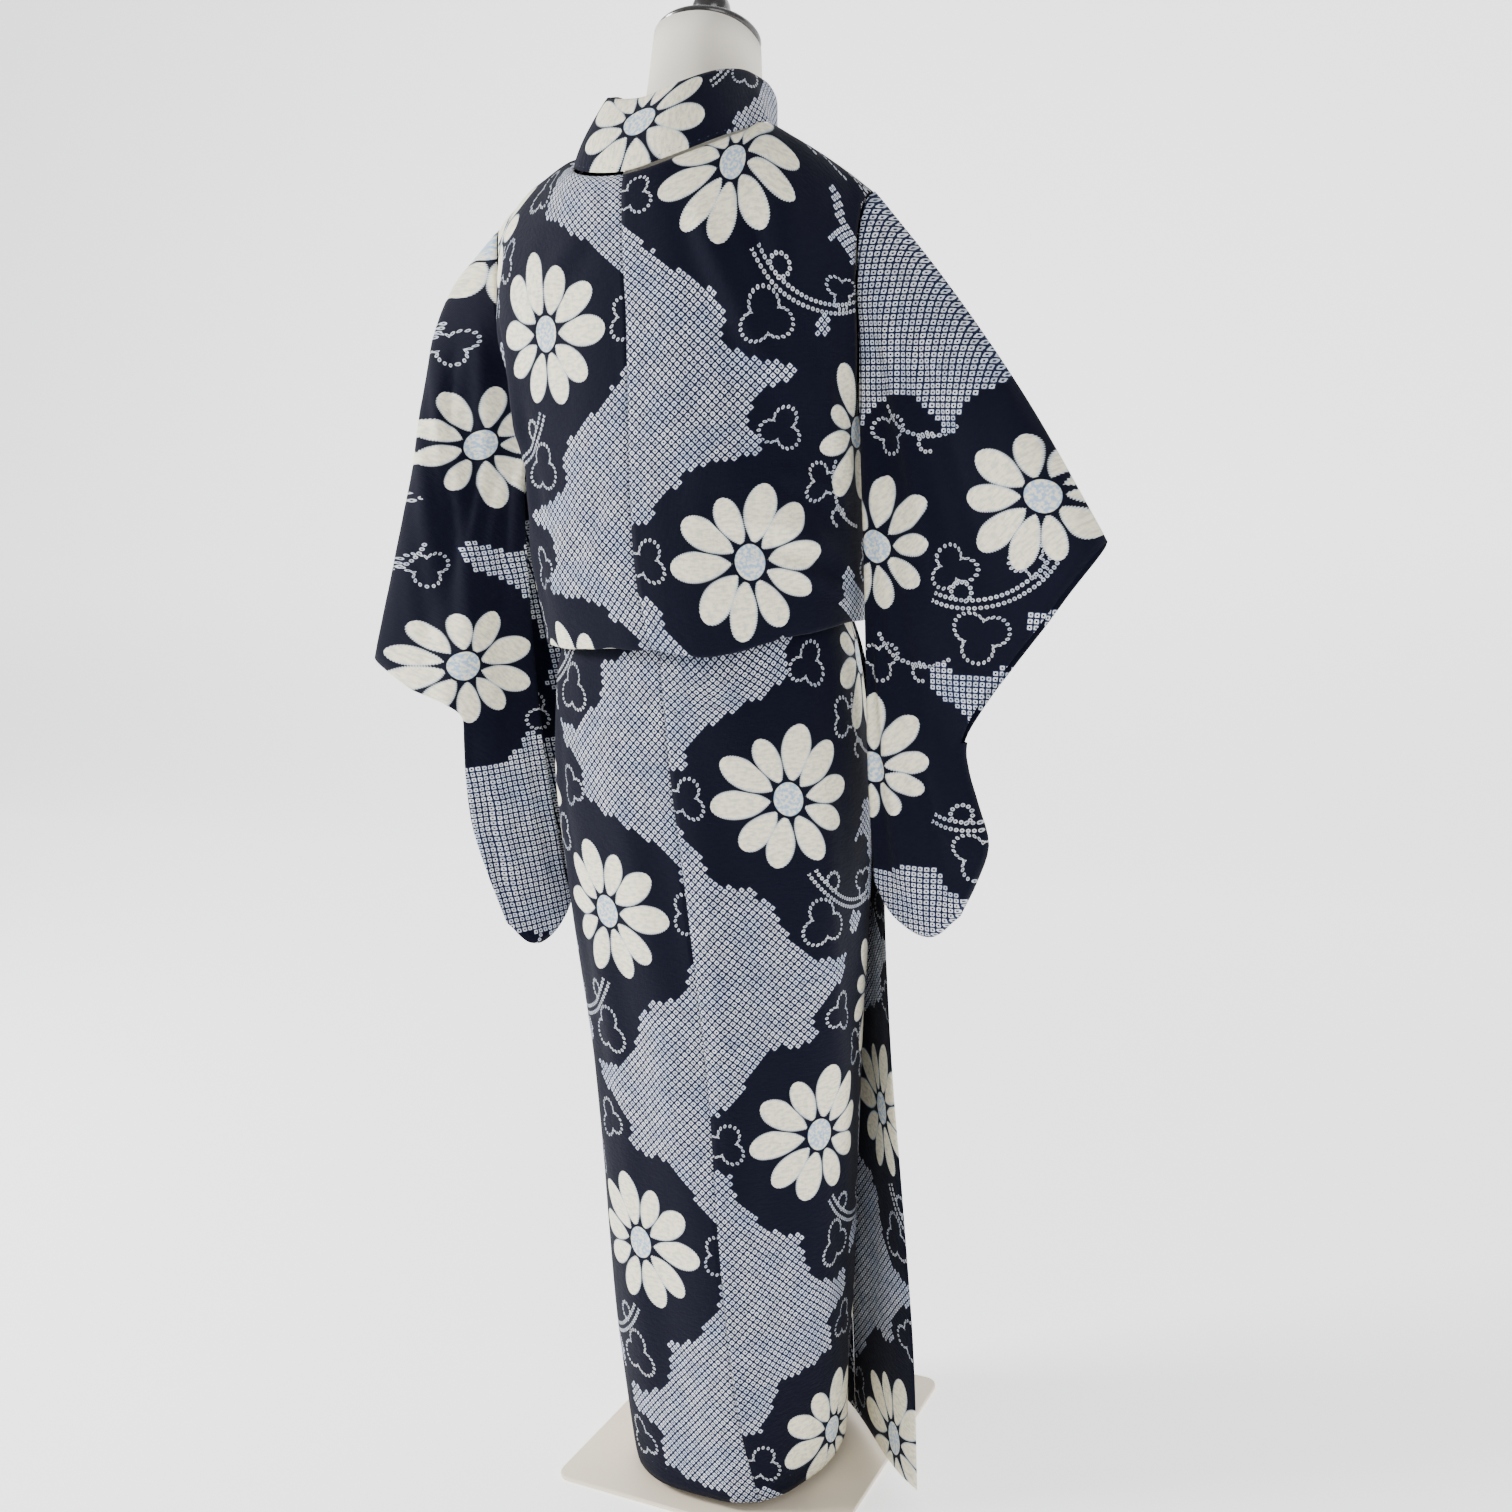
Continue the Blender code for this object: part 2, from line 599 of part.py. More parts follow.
def sleeve_mesh(sign, back, front):
    """A sleeve as points and faces: two layers joined on top, at the bottom and below the wrist opening."""
    behind = sleeve_layer(sign, 1, back)
    before = sleeve_layer(sign, -1, front)
    middle = (behind[-1] + before[-1]) / 2
    along = tangents(middle)
    below = middle + FOLD_OUT * sign * np.column_stack([along[:, 2], np.zeros(SLEEVE_ACROSS), -along[:, 0]])
    loops = np.concatenate([behind[::-1], before[1:], below[None]])
    faces = grid_faces(len(loops), SLEEVE_ACROSS, closed=True)
    points = list(loops.reshape(-1, 3))
    first = SLEEVE_DOWN.index(WRIST_OPEN)
    last = len(SLEEVE_DOWN) - 1
    wrist = SLEEVE_ACROSS - 1
    middles = {}
    for down in range(first, last):
        middles[down] = len(points)
        points.append((behind[down, -1] + before[down, -1]) / 2 + np.array((sign * FOLD_OUT, 0, 0)))
    middles[last] = (len(loops) - 1) * SLEEVE_ACROSS + wrist
    for down in range(first, last):
        upper = (last - down) * SLEEVE_ACROSS + wrist
        faces.append((upper - SLEEVE_ACROSS, upper, middles[down], middles[down + 1]))
        upper = (last + down) * SLEEVE_ACROSS + wrist
        faces.append((upper, upper + SLEEVE_ACROSS, middles[down + 1], middles[down]))
    return np.array(points), faces


def grid_faces(rows, columns, closed=False):
    """Faces of a grid of points. A closed grid joins its last row to its first."""
    faces = []
    for row in range(rows if closed else rows - 1):
        below = (row + 1) % rows
        for column in range(columns - 1):
            a = row * columns + column
            b = below * columns + column
            faces.append((a, b, b + 1, a + 1))
    return faces


def tangents(grid):
    """Directions along the grid's first axis, carried on smoothly to its ends."""
    steps = unit(np.diff(grid, axis=0))
    inner = unit(steps[1:] + steps[:-1])
    return np.concatenate([unit(2 * steps[:1] - inner[:1]), inner, unit(2 * steps[-1:] - inner[-1:])])


def grid_normals(grid):
    """Normals of a grid of points, which agree across a seam where the cloth runs on smoothly."""
    along = tangents(grid)
    across = tangents(grid.swapaxes(0, 1)).swapaxes(0, 1)
    return unit(np.cross(along, across)).reshape(-1, 3)


def face_normals(points, faces):
    """Normals at the points of a sheet, from the faces round each."""
    normals = np.zeros(points.shape)
    for face in faces:
        corners = points[list(face)]
        normals[list(face)] += np.cross(corners[2] - corners[0], corners[3] - corners[1])
    return unit(normals)


def wall_about(points, normals, faces, wall):
    """A closed wall about a sheet: both of its sides, split along the same diagonals, and rims at open edges."""
    both = np.concatenate([points + normals * wall / 2, points - normals * wall / 2])
    count = len(points)
    shell = [half for a, b, c, d in faces for half in ((a, b, c), (a, c, d))]
    shell += [(a + count, c + count, b + count) for a, b, c in shell]
    edges = {(face[i], face[(i + 1) % len(face)]) for face in faces for i in range(len(face))}
    for a, b in sorted(edges):
        if (b, a) not in edges:
            shell.append((b, a, a + count, b + count))
    return both, shell


def ring_faces(rings, sides):
    """Faces of stacked rings of points, closed by a flat face at each end."""
    faces = []
    for ring in range(rings - 1):
        for side in range(sides):
            a = ring * sides + side
            b = ring * sides + (side + 1) % sides
            faces.append((a, b, b + sides, a + sides))
    faces.append(tuple(range(sides))[::-1])
    faces.append(tuple((rings - 1) * sides + side for side in range(sides)))
    return faces


def lathe(profile, sides=FORM_SIDES):
    """A solid turned about Z from rows of radius and height."""
    turns = np.linspace(0, 2 * np.pi, sides, endpoint=False)
    points = [(r * np.cos(turn), r * np.sin(turn), z) for r, z in profile for turn in turns]
    return np.array(points), ring_faces(len(profile), sides)


def form_mesh():
    """The torso and neck, as stacked rings."""
    turns = -np.linspace(0, 2 * np.pi, FORM_SIDES, endpoint=False)
    heights = FORM["z"]
    fine = np.unique(np.concatenate([heights, (heights[2:-1] + heights[3:]) / 2]))
    points = []
    for z in fine:
        sizes = ring_at(FORM, z)
        lean = np.tan(np.radians(smooth(FORM, "z", "lean", z)))
        points += [(x, y, z + (y - sizes[1]) * lean) for x, y in on_ring(sizes, turns)]
    return np.array(points), ring_faces(len(fine), FORM_SIDES)


def tilted(points, base):
    """Points of an upright lathe, tipped forwards by CAP_TILT about the base point."""
    x, y, z = points.T
    cos, sin = np.cos(CAP_TILT), np.sin(CAP_TILT)
    return base + np.stack([x, y * cos - z * sin, y * sin + z * cos], axis=-1)


def plate_mesh():
    """A square plate with rounded corners and a fine bevel on its edges."""
    half = PLATE_SIDE / 2
    bevel = 0.001
    outline = []
    for corner in range(4):
        middle = np.radians(45 + 90 * corner)
        centre = (half - PLATE_CORNER) * np.sqrt(2) * np.array((np.cos(middle), np.sin(middle)))
        for turn in np.radians(np.linspace(90 * corner, 90 * corner + 90, 7)):
            outline.append((centre, np.array((np.cos(turn), np.sin(turn)))))
    points = []
    for z, inset in ((0.0, bevel), (bevel, 0.0), (PLATE_THICK - bevel, 0.0), (PLATE_THICK, bevel)):
        points += [(*(centre + way * (PLATE_CORNER - inset)), z) for centre, way in outline]
    return np.array(points), ring_faces(4, len(outline))


def material(name, colour, roughness, metallic):
    """A plain material of one colour."""
    made = bpy.data.materials.new(name)
    made.use_nodes = True
    shader = made.node_tree.nodes["Principled BSDF"]
    shader.inputs["Base Color"].default_value = (*colour, 1.0)
    shader.inputs["Roughness"].default_value = roughness
    shader.inputs["Metallic"].default_value = metallic
    return made


def add_piece(name, shape, colour, roughness=0.9, metallic=0.0):
    """Adds one named solid with its own material."""
    points, faces = shape
    mesh = bpy.data.meshes.new(name)
    mesh.from_pydata((points + SHIFT).tolist(), [], faces)
    mesh.materials.append(material(f"{name}_material", colour, roughness, metallic))
    bpy.context.scene.collection.objects.link(bpy.data.objects.new(name, mesh))


def add_sheet(name, grid, wall, colour):
    """Adds a cloth piece from its grid of points."""
    rows, columns = grid.shape[:2]
    points = grid.reshape(-1, 3)
    add_piece(name, wall_about(points, grid_normals(grid), grid_faces(rows, columns), wall), colour)


def build_robe():
    """Adds the robe's nine pieces."""
    navy = (0.012, 0.016, 0.055)
    backs = {sign: back_sheet(sign) for sign in (1, -1)}
    fronts = {1: front_sheets(True), -1: front_sheets(False)}
    for sign, word in ((1, "left"), (-1, "right")):
        add_sheet(f"back_{word}", backs[sign], CLOTH, navy)
        add_sheet(f"front_{word}", fronts[sign][0], CLOTH, navy)
        add_sheet(f"okumi_{word}", fronts[sign][1], CLOTH, navy)
        points, faces = sleeve_mesh(sign, backs[sign], fronts[sign][0])
        add_piece(f"sleeve_{word}", wall_about(points, face_normals(points, faces), faces, CLOTH), navy)
    add_sheet("collar", collar_sheet(fronts), COLLAR_CLOTH, navy)


def build_form():
    """Adds the dress form, its cap and knob, and its stand."""
    jersey = (0.80, 0.74, 0.63)
    enamel = (0.80, 0.77, 0.70)
    lacquer = (0.015, 0.014, 0.014)
    add_piece("base_plate", plate_mesh(), enamel, 0.45)
    low = PLATE_THICK + REST_GAP
    pole = (
        (FLANGE_RADIUS - 0.001, low),
        (FLANGE_RADIUS, low + 0.001),
        (FLANGE_RADIUS, low + 0.004),
        (POLE_RADIUS + 0.006, FLANGE_TOP - 0.002),
        (POLE_RADIUS, FLANGE_TOP + 0.004),
        (POLE_RADIUS, FORM_BOTTOM - REST_GAP),
    )
    add_piece("pole", lathe(pole), enamel, 0.4)
    add_piece("form_torso", form_mesh(), jersey, 0.95)
    cap = (
        (CAP_RADIUS - 0.004, REST_GAP),
        (CAP_RADIUS - 0.001, REST_GAP + 0.002),
        (CAP_RADIUS, REST_GAP + 0.005),
        (CAP_RADIUS - 0.003, REST_GAP + 0.009),
        (CAP_RADIUS - 0.012, REST_GAP + CAP_HEIGHT),
    )
    points, faces = lathe(cap)
    add_piece("neck_cap", (tilted(points, CAP_BASE), faces), lacquer, 0.3)
    low = CAP_HEIGHT + 2 * REST_GAP
    stem = KNOB_RADIUS * 0.45
    turns = np.radians(np.linspace(-62, 84, 12))
    ball = [(KNOB_RADIUS * np.cos(turn), low + KNOB_RADIUS * (1.1 + np.sin(turn))) for turn in turns]
    points, faces = lathe([(stem * 1.3, low), (stem, low + 0.002)] + ball, 24)
    add_piece("knob", (tilted(points, CAP_BASE), faces), lacquer, 0.3)


for old in list(bpy.data.objects):
    bpy.data.objects.remove(old, do_unlink=True)
build_robe()
build_form()
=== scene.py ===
"""Looks for a cotton yukata robe on a limbless dress form.

The robe's shown cloth is worked out from the same named sizes as the solids, with more rows and columns, soft
creases and a printed cotton material. Lengths are in metres. X runs to the wearer's left, Y to the wearer's back
and Z up.
"""

import logging
from collections.abc import Iterable, Sequence
from dataclasses import dataclass
from enum import Enum

import bpy
import numpy as np
from mathutils import Matrix, Vector


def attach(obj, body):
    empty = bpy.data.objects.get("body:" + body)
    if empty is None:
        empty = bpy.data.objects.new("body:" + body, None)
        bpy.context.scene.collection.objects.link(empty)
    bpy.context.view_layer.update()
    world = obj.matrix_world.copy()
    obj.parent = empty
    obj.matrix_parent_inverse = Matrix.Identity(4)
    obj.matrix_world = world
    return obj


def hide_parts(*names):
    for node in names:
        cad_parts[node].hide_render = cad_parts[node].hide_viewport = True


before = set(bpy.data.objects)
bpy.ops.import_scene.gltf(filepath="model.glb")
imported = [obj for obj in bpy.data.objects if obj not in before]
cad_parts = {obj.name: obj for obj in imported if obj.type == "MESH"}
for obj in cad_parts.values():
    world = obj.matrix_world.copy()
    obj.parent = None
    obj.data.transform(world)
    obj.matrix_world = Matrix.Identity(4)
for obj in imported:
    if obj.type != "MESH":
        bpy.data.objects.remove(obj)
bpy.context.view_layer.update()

LOG = logging.getLogger("robe")

Array = np.ndarray
Columns = dict[str, Array]
Faces = list[tuple[int, ...]]

SHIFT = np.array((0.0231, 0.0, 0.0))

# Walls and gaps.
CLOTH = 0.0016
SHOWN_CLOTH = 0.0010
SEAM_SHARE = 0.3
SEAM_GAP = 0.0003
CORNER_GAP = 0.0020
REST_GAP = 0.0003

# The dress form and its stand.
PLATE_SIDE = 0.300
PLATE_THICK = 0.005
PLATE_CORNER = 0.014
POLE_RADIUS = 0.014
FLANGE_RADIUS = 0.034
FLANGE_TOP = 0.014
FORM_BOTTOM = 0.622
CAP_BASE = np.array((-0.006, -0.060, 1.384))
CAP_TILT = np.radians(18)
CAP_RADIUS = 0.050
CAP_HEIGHT = 0.012
KNOB_RADIUS = 0.0185

# The robe's main sizes.
BACK_WIDTH = 0.285
FRONT_WIDTH = 0.240
OKUMI_WIDTH = 0.150
HEM_HEIGHT = 0.014
TUCK_EDGE = 0.841
TUCK_TOP = 0.884
TUCK_TURN = 0.0036
CHEST = 1.125
WAIST = 0.900
BLOUSE = 0.950
LAYER_STEP = 0.0065
WRIST_OPEN = 0.55


def table(names: str, *rows: Sequence[float]) -> Columns:
    """Rows of numbers under their column names.

    Args:
        names: The column names, with spaces between them.
        rows: One row of numbers for each section or fold.

    Returns:
        One array for each column.
    """
    return dict(zip(names.split(), np.array(rows, float).T))


# Rings of the dress form, from its flat underside to the top of its neck. Lean tips a ring forwards, in degrees.
FORM = table(
    "z mid_x mid_y half_x back front lean",
    (0.622, -0.002, 0.004, 0.118, 0.088, 0.088, 0),
    (0.630, -0.002, 0.004, 0.130, 0.100, 0.099, 0),
    (0.660, -0.002, 0.004, 0.138, 0.108, 0.105, 0),
    (0.720, -0.002, 0.004, 0.142, 0.112, 0.108, 0),
    (0.800, -0.002, 0.003, 0.126, 0.098, 0.092, 0),
    (0.885, -0.002, 0.001, 0.102, 0.078, 0.077, 0),
    (0.960, -0.002, 0.000, 0.116, 0.084, 0.094, 0),
    (1.060, -0.002, 0.000, 0.140, 0.098, 0.118, 0),
    (1.130, -0.002, 0.000, 0.156, 0.102, 0.100, 0),
    (1.185, -0.002, -0.002, 0.166, 0.090, 0.070, 0),
    (1.212, -0.003, -0.006, 0.156, 0.070, 0.056, 0),
    (1.234, -0.005, -0.012, 0.124, 0.056, 0.052, 0),
    (1.254, -0.006, -0.020, 0.088, 0.051, 0.050, 3),
    (1.278, -0.007, -0.030, 0.065, 0.050, 0.050, 7),
    (1.310, -0.007, -0.040, 0.057, 0.051, 0.051, 11),
    (1.384, -0.006, -0.060, 0.048, 0.050, 0.050, 18),
)

# Rings of the cloth above the waist, and of the skirt.
UPPER = table(
    "z mid_x mid_y half_x back front",
    (0.830, -0.002, 0.000, 0.156, 0.134, 0.126),
    (0.885, -0.003, 0.000, 0.161, 0.137, 0.132),
    (0.950, -0.003, 0.000, 0.162, 0.134, 0.137),
    (1.020, -0.002, 0.000, 0.166, 0.130, 0.141),
    (1.080, -0.001, 0.000, 0.180, 0.127, 0.136),
    (1.125, 0.001, 0.000, 0.190, 0.125, 0.127),
)
SKIRT = table(
    "z mid_x mid_y half_x back front",
    (0.014, 0.000, 0.030, 0.104, 0.106, 0.118),
    (0.052, 0.000, 0.030, 0.108, 0.107, 0.118),
    (0.180, 0.000, 0.026, 0.1195, 0.110, 0.119),
    (0.280, -0.001, 0.021, 0.125, 0.113, 0.120),
    (0.380, -0.002, 0.016, 0.130, 0.116, 0.122),
    (0.480, -0.002, 0.012, 0.138, 0.120, 0.124),
    (0.600, -0.001, 0.008, 0.150, 0.124, 0.125),
    (0.750, -0.002, 0.006, 0.154, 0.126, 0.122),
    (0.840, -0.002, 0.004, 0.141, 0.114, 0.110),
    (0.890, -0.002, 0.002, 0.120, 0.096, 0.094),
)
# The centre back seam's x at each height.
SEAM = table(
    "z x",
    (0.014, -0.065),
    (0.080, -0.056),
    (0.280, -0.045),
    (0.430, -0.043),
    (0.560, -0.037),
    (0.730, -0.027),
    (0.830, -0.018),
    (0.885, -0.010),
    (1.086, -0.008),
    (1.240, -0.014),
)
# Where the back and front panels end at the side above the waist, and where the collar is sewn on in front.
# Turns are in degrees from the middle of the back. The left front lies over the right one.
SIDE = table(
    "z back over under",
    (0.830, 116.0, 116.4, 118.0),
    (0.900, 114.0, 114.4, 118.0),
    (0.960, 104.0, 104.5, 104.6),
    (1.040, 86.0, 93.0, 93.0),
    (1.125, 76.0, 98.0, 98.0),
)
SIDE_AT_WAIST = 117.0
COLLAR_TURN = table(
    "z left right",
    (0.830, 236.0, 214.0),
    (0.885, 231.0, 212.0),
    (0.950, 214.0, 203.0),
    (1.008, 198.0, 192.0),
    (1.067, 182.0, 179.0),
    (1.125, 168.0, 166.0),
)
# The strip between front and collar widens downwards from its tip.
OKUMI_TIP = 1.058
STRIP = table(
    "z left right",
    (0.830, 0.150, 0.090),
    (0.885, 0.118, 0.078),
    (1.000, 0.040, 0.030),
    (1.060, 0.004, 0.004),
)
# The free edge of the over side below the tuck: where it leaves the body, and the way it points at its end.
OVER_EDGE = table(
    "z x y leave heading",
    (0.014, -0.200, 0.047, 212.0, 150.0),
    (0.133, -0.197, 0.034, 214.0, 147.0),
    (0.292, -0.184, 0.014, 219.0, 138.0),
    (0.427, -0.171, -0.004, 223.0, 128.0),
    (0.580, -0.163, -0.022, 229.0, 112.0),
    (0.750, -0.157, -0.040, 229.0, 104.0),
    (0.840, -0.127, -0.062, 224.0, 112.0),
    (0.890, -0.110, -0.060, 220.0, 114.0),
)
UNDER_EDGE = table("z turn", (0.014, 262.0), (0.600, 264.0), (0.780, 252.0), (0.900, 236.0))

# The collar round the neck, seam and free edge, from the middle of the back (step 0) over the shoulder (step 3)
# to the chest (step 6) and the collar's end (step 9). Steps on the wearer's right are negative.
NECK = table(
    "step x y z",
    (-3, -0.103, 0.020, 1.284),
    (-2, -0.090, 0.076, 1.266),
    (-1, -0.058, 0.111, 1.249),
    (0, -0.014, 0.121, 1.240),
    (1, 0.034, 0.111, 1.248),
    (2, 0.064, 0.076, 1.264),
    (3, 0.079, 0.022, 1.281),
)
COLLAR_EDGE = table(
    "step x y z",
    (-9, 0.110, -0.096, 0.975),
    (-8, 0.084, -0.117, 1.036),
    (-7, 0.052, -0.126, 1.098),
    (-6, 0.002, -0.121, 1.158),
    (-5, -0.018, -0.099, 1.245),
    (-4, -0.077, -0.054, 1.314),
    (-3, -0.082, -0.002, 1.332),
    (-2, -0.074, 0.046, 1.328),
    (-1, -0.051, 0.080, 1.315),
    (0, -0.018, 0.088, 1.306),
    (1, 0.018, 0.080, 1.312),
    (2, 0.038, 0.051, 1.322),
    (3, 0.048, 0.005, 1.330),
    (4, 0.056, -0.050, 1.313),
    (5, 0.014, -0.108, 1.243),
    (6, -0.004, -0.137, 1.158),
    (7, -0.074, -0.141, 1.074),
    (8, -0.128, -0.103, 0.996),
    (9, -0.163, -0.050, 0.915),
)
COLLAR_END = {1: 0.885, -1: 0.950}

# Outer ends of the shoulder lines.
TIP = {1: np.array((0.203, 0.000, 1.236)), -1: np.array((-0.190, 0.000, 1.218))}

# Edges of the sleeves, midway between their two layers. Way runs from 0 to 1 along each edge.
SLEEVE_TOP = {
    1: table(
        "way x y z",
        (0.00, 0.203, 0.000, 1.236),
        (0.30, 0.270, 0.014, 1.166),
        (0.65, 0.304, 0.045, 1.000),
        (1.00, 0.345, 0.075, 0.829),
    ),
    -1: table(
        "way x y z",
        (0.00, -0.190, 0.000, 1.218),
        (0.30, -0.252, 0.004, 1.138),
        (0.65, -0.325, 0.010, 1.030),
        (1.00, -0.391, 0.012, 0.911),
    ),
}
SLEEVE_WRIST = {
    1: table(
        "way x y z",
        (0.00, 0.345, 0.075, 0.829),
        (0.30, 0.288, 0.082, 0.796),
        (0.55, 0.230, 0.086, 0.766),
        (0.70, 0.234, 0.084, 0.715),
        (0.85, 0.230, 0.082, 0.645),
        (1.00, 0.203, 0.078, 0.558),
    ),
    -1: table(
        "way x y z",
        (0.00, -0.391, 0.012, 0.911),
        (0.30, -0.338, 0.016, 0.846),
        (0.55, -0.262, 0.020, 0.741),
        (0.70, -0.267, 0.020, 0.698),
        (0.85, -0.279, 0.022, 0.646),
        (1.00, -0.252, 0.022, 0.586),
    ),
}
SLEEVE_BOTTOM = {
    1: table(
        "way x y z",
        (0.00, 0.162, 0.022, 0.588),
        (0.30, 0.170, 0.040, 0.551),
        (0.60, 0.182, 0.062, 0.535),
        (1.00, 0.203, 0.078, 0.558),
    ),
    -1: table(
        "way x y z",
        (0.00, -0.172, 0.012, 0.612),
        (0.30, -0.190, 0.016, 0.580),
        (0.60, -0.220, 0.020, 0.564),
        (1.00, -0.252, 0.022, 0.586),
    ),
}
# Below the armhole, the open edge beside the body, and how far its two layers stand apart from the middle.
SLEEVE_BODY = {
    1: table(
        "z x y apart",
        (0.588, 0.162, 0.022, 0.010),
        (0.700, 0.171, 0.018, 0.020),
        (0.800, 0.174, 0.016, 0.024),
        (0.900, 0.177, 0.012, 0.024),
        (0.980, 0.178, 0.006, 0.026),
    ),
    -1: table(
        "z x y apart",
        (0.612, -0.172, 0.012, 0.010),
        (0.700, -0.175, 0.012, 0.020),
        (0.800, -0.177, 0.010, 0.022),
        (0.900, -0.179, 0.008, 0.022),
        (0.980, -0.180, 0.006, 0.024),
    ),
}
ARMHOLE_END = 1.030
WRIST_APART = 0.014
CLOSED_APART = 0.005
SLEEVE_BULGE = 0.007
FOLD_OUT = 0.004
SLEEVE_DOWN = (0.0, 0.03, 0.08, 0.15, 0.23, 0.31, 0.39, 0.47, WRIST_OPEN, 0.64, 0.74, 0.84, 0.93, 1.0)
SLEEVE_ACROSS = 10

# Large soft folds, from their upper to their lower end. Arcs are lengths round the body from the centre back.
BACK_FOLDS = table(
    "arc_top z_top arc_low z_low width height",
    (0.150, 1.130, 0.168, 0.870, 0.016, 0.007),
    (0.196, 1.100, 0.205, 0.900, 0.018, -0.008),
    (-0.118, 1.190, -0.205, 0.960, 0.022, 0.007),
    (-0.060, 1.010, -0.190, 0.900, 0.020, 0.005),
    (-0.070, 0.930, -0.160, 0.860, 0.014, -0.004),
    (0.050, 0.960, 0.110, 0.860, 0.020, 0.004),
)
SKIRT_FOLDS = table(
    "arc_top z_top arc_low z_low width height",
    (0.000, 0.420, 0.006, -0.060, 0.034, 0.005),
    (-0.070, 0.700, -0.052, -0.060, 0.026, -0.004),
    (0.075, 0.640, 0.062, -0.060, 0.030, -0.004),
    (-0.130, 0.780, -0.110, 0.200, 0.024, 0.003),
)

SKIRT_ROWS = (0.866, 0.845, 0.815, 0.77, 0.71, 0.64, 0.56, 0.48, 0.40, 0.32, 0.24, 0.16, 0.09, 0.045, HEM_HEIGHT)
BACK_NECK_COLUMNS = 7
BACK_SHOULDER_COLUMNS = 5
NECK_SHARE = 0.557
FRONT_COLUMNS = 9
OKUMI_COLUMNS = 6
SHOULDER_ROWS = 6
FORM_SIDES = 96

RING_COLUMNS = ("mid_x", "mid_y", "half_x", "back", "front")
ROUNDNESS = 2.2
TURNS = np.linspace(-2 * np.pi, 2 * np.pi, 721)
SHARES = np.linspace(0, 1, 61)


def smooth(columns: Columns, key: str, name: str, at: float | Array) -> Array:
    """The named column, read from a smooth curve through the table's rows.

    Args:
        columns: The table's columns.
        key: The column that orders the rows.
        name: The column to read.
        at: Where to read it.

    Returns:
        The column's value at each place.
    """
    keys = columns[key]
    values = columns[name]
    at = np.clip(np.asarray(at, float), keys[0], keys[-1])
    slopes = np.gradient(values, keys)
    low = np.clip(np.searchsorted(keys, at) - 1, 0, len(keys) - 2)
    span = keys[low + 1] - keys[low]
    t = (at - keys[low]) / span
    across = (1 - t) ** 2 * (1 + 2 * t) * values[low] + t**2 * (3 - 2 * t) * values[low + 1]
    return across + span * t * (1 - t) * ((1 - t) * slopes[low] - t * slopes[low + 1])


def ease(t: float | Array) -> Array:
    """0 to 1 with a soft start and a soft end.

    Args:
        t: The share, cut off at 0 and 1.

    Returns:
        The eased share.
    """
    t = np.clip(t, 0.0, 1.0)
    return t * t * (3 - 2 * t)


def unit(vectors: Array) -> Array:
    """Vectors of length 1.

    Args:
        vectors: The vectors.

    Returns:
        The same directions with length 1.
    """
    return vectors / np.linalg.norm(vectors, axis=-1)[..., None]


def line_at(columns: Columns, key: str, at: float | Array) -> Array:
    """Points of a table's x, y and z columns.

    Args:
        columns: The table's columns.
        key: The column that orders the rows.
        at: Where to read the line.

    Returns:
        A point for each place.
    """
    return np.stack([smooth(columns, key, name, at) for name in "xyz"], axis=-1)


def walked(points: Array) -> Array:
    """Lengths along a line of points, from 0 at its start.

    Args:
        points: The points.

    Returns:
        One length for each point.
    """
    return np.concatenate([[0.0], np.cumsum(np.linalg.norm(np.diff(points, axis=0), axis=1))])


def resampled(points: Array, shares: Array) -> Array:
    """Points at shares of the way along a line of points.

    Args:
        points: The points.
        shares: Shares of the whole length.

    Returns:
        A point for each share.
    """
    lengths = walked(points)
    at = np.asarray(shares) * lengths[-1]
    return np.stack([np.interp(at, lengths, points[:, axis]) for axis in range(points.shape[1])], axis=-1)


def refined(grid: Array, down: int, across: int) -> Array:
    """A grid with more rows and columns, on smooth curves through the given points.

    Args:
        grid: Rows and columns of points.
        down: New rows for each old one.
        across: New columns for each old one.

    Returns:
        The finer grid, which keeps every point of the old one.
    """
    for times in (down, across):
        ends = np.concatenate([2 * grid[:1] - grid[1:2], grid, 2 * grid[-1:] - grid[-2:-1]])
        parts = []
        for t in np.arange(times) / times:
            before, here, after, beyond = ends[:-3], ends[1:-2], ends[2:-1], ends[3:]
            parts.append(
                here
                + 0.5 * t * (after - before)
                + t**2 * (before - 2.5 * here + 2 * after - 0.5 * beyond)
                + t**3 * (1.5 * (here - after) + 0.5 * (beyond - before))
            )
        fine = np.stack(parts, axis=1).reshape(-1, *grid.shape[1:])
        grid = np.concatenate([fine, grid[-1:]]).swapaxes(0, 1)
    return grid


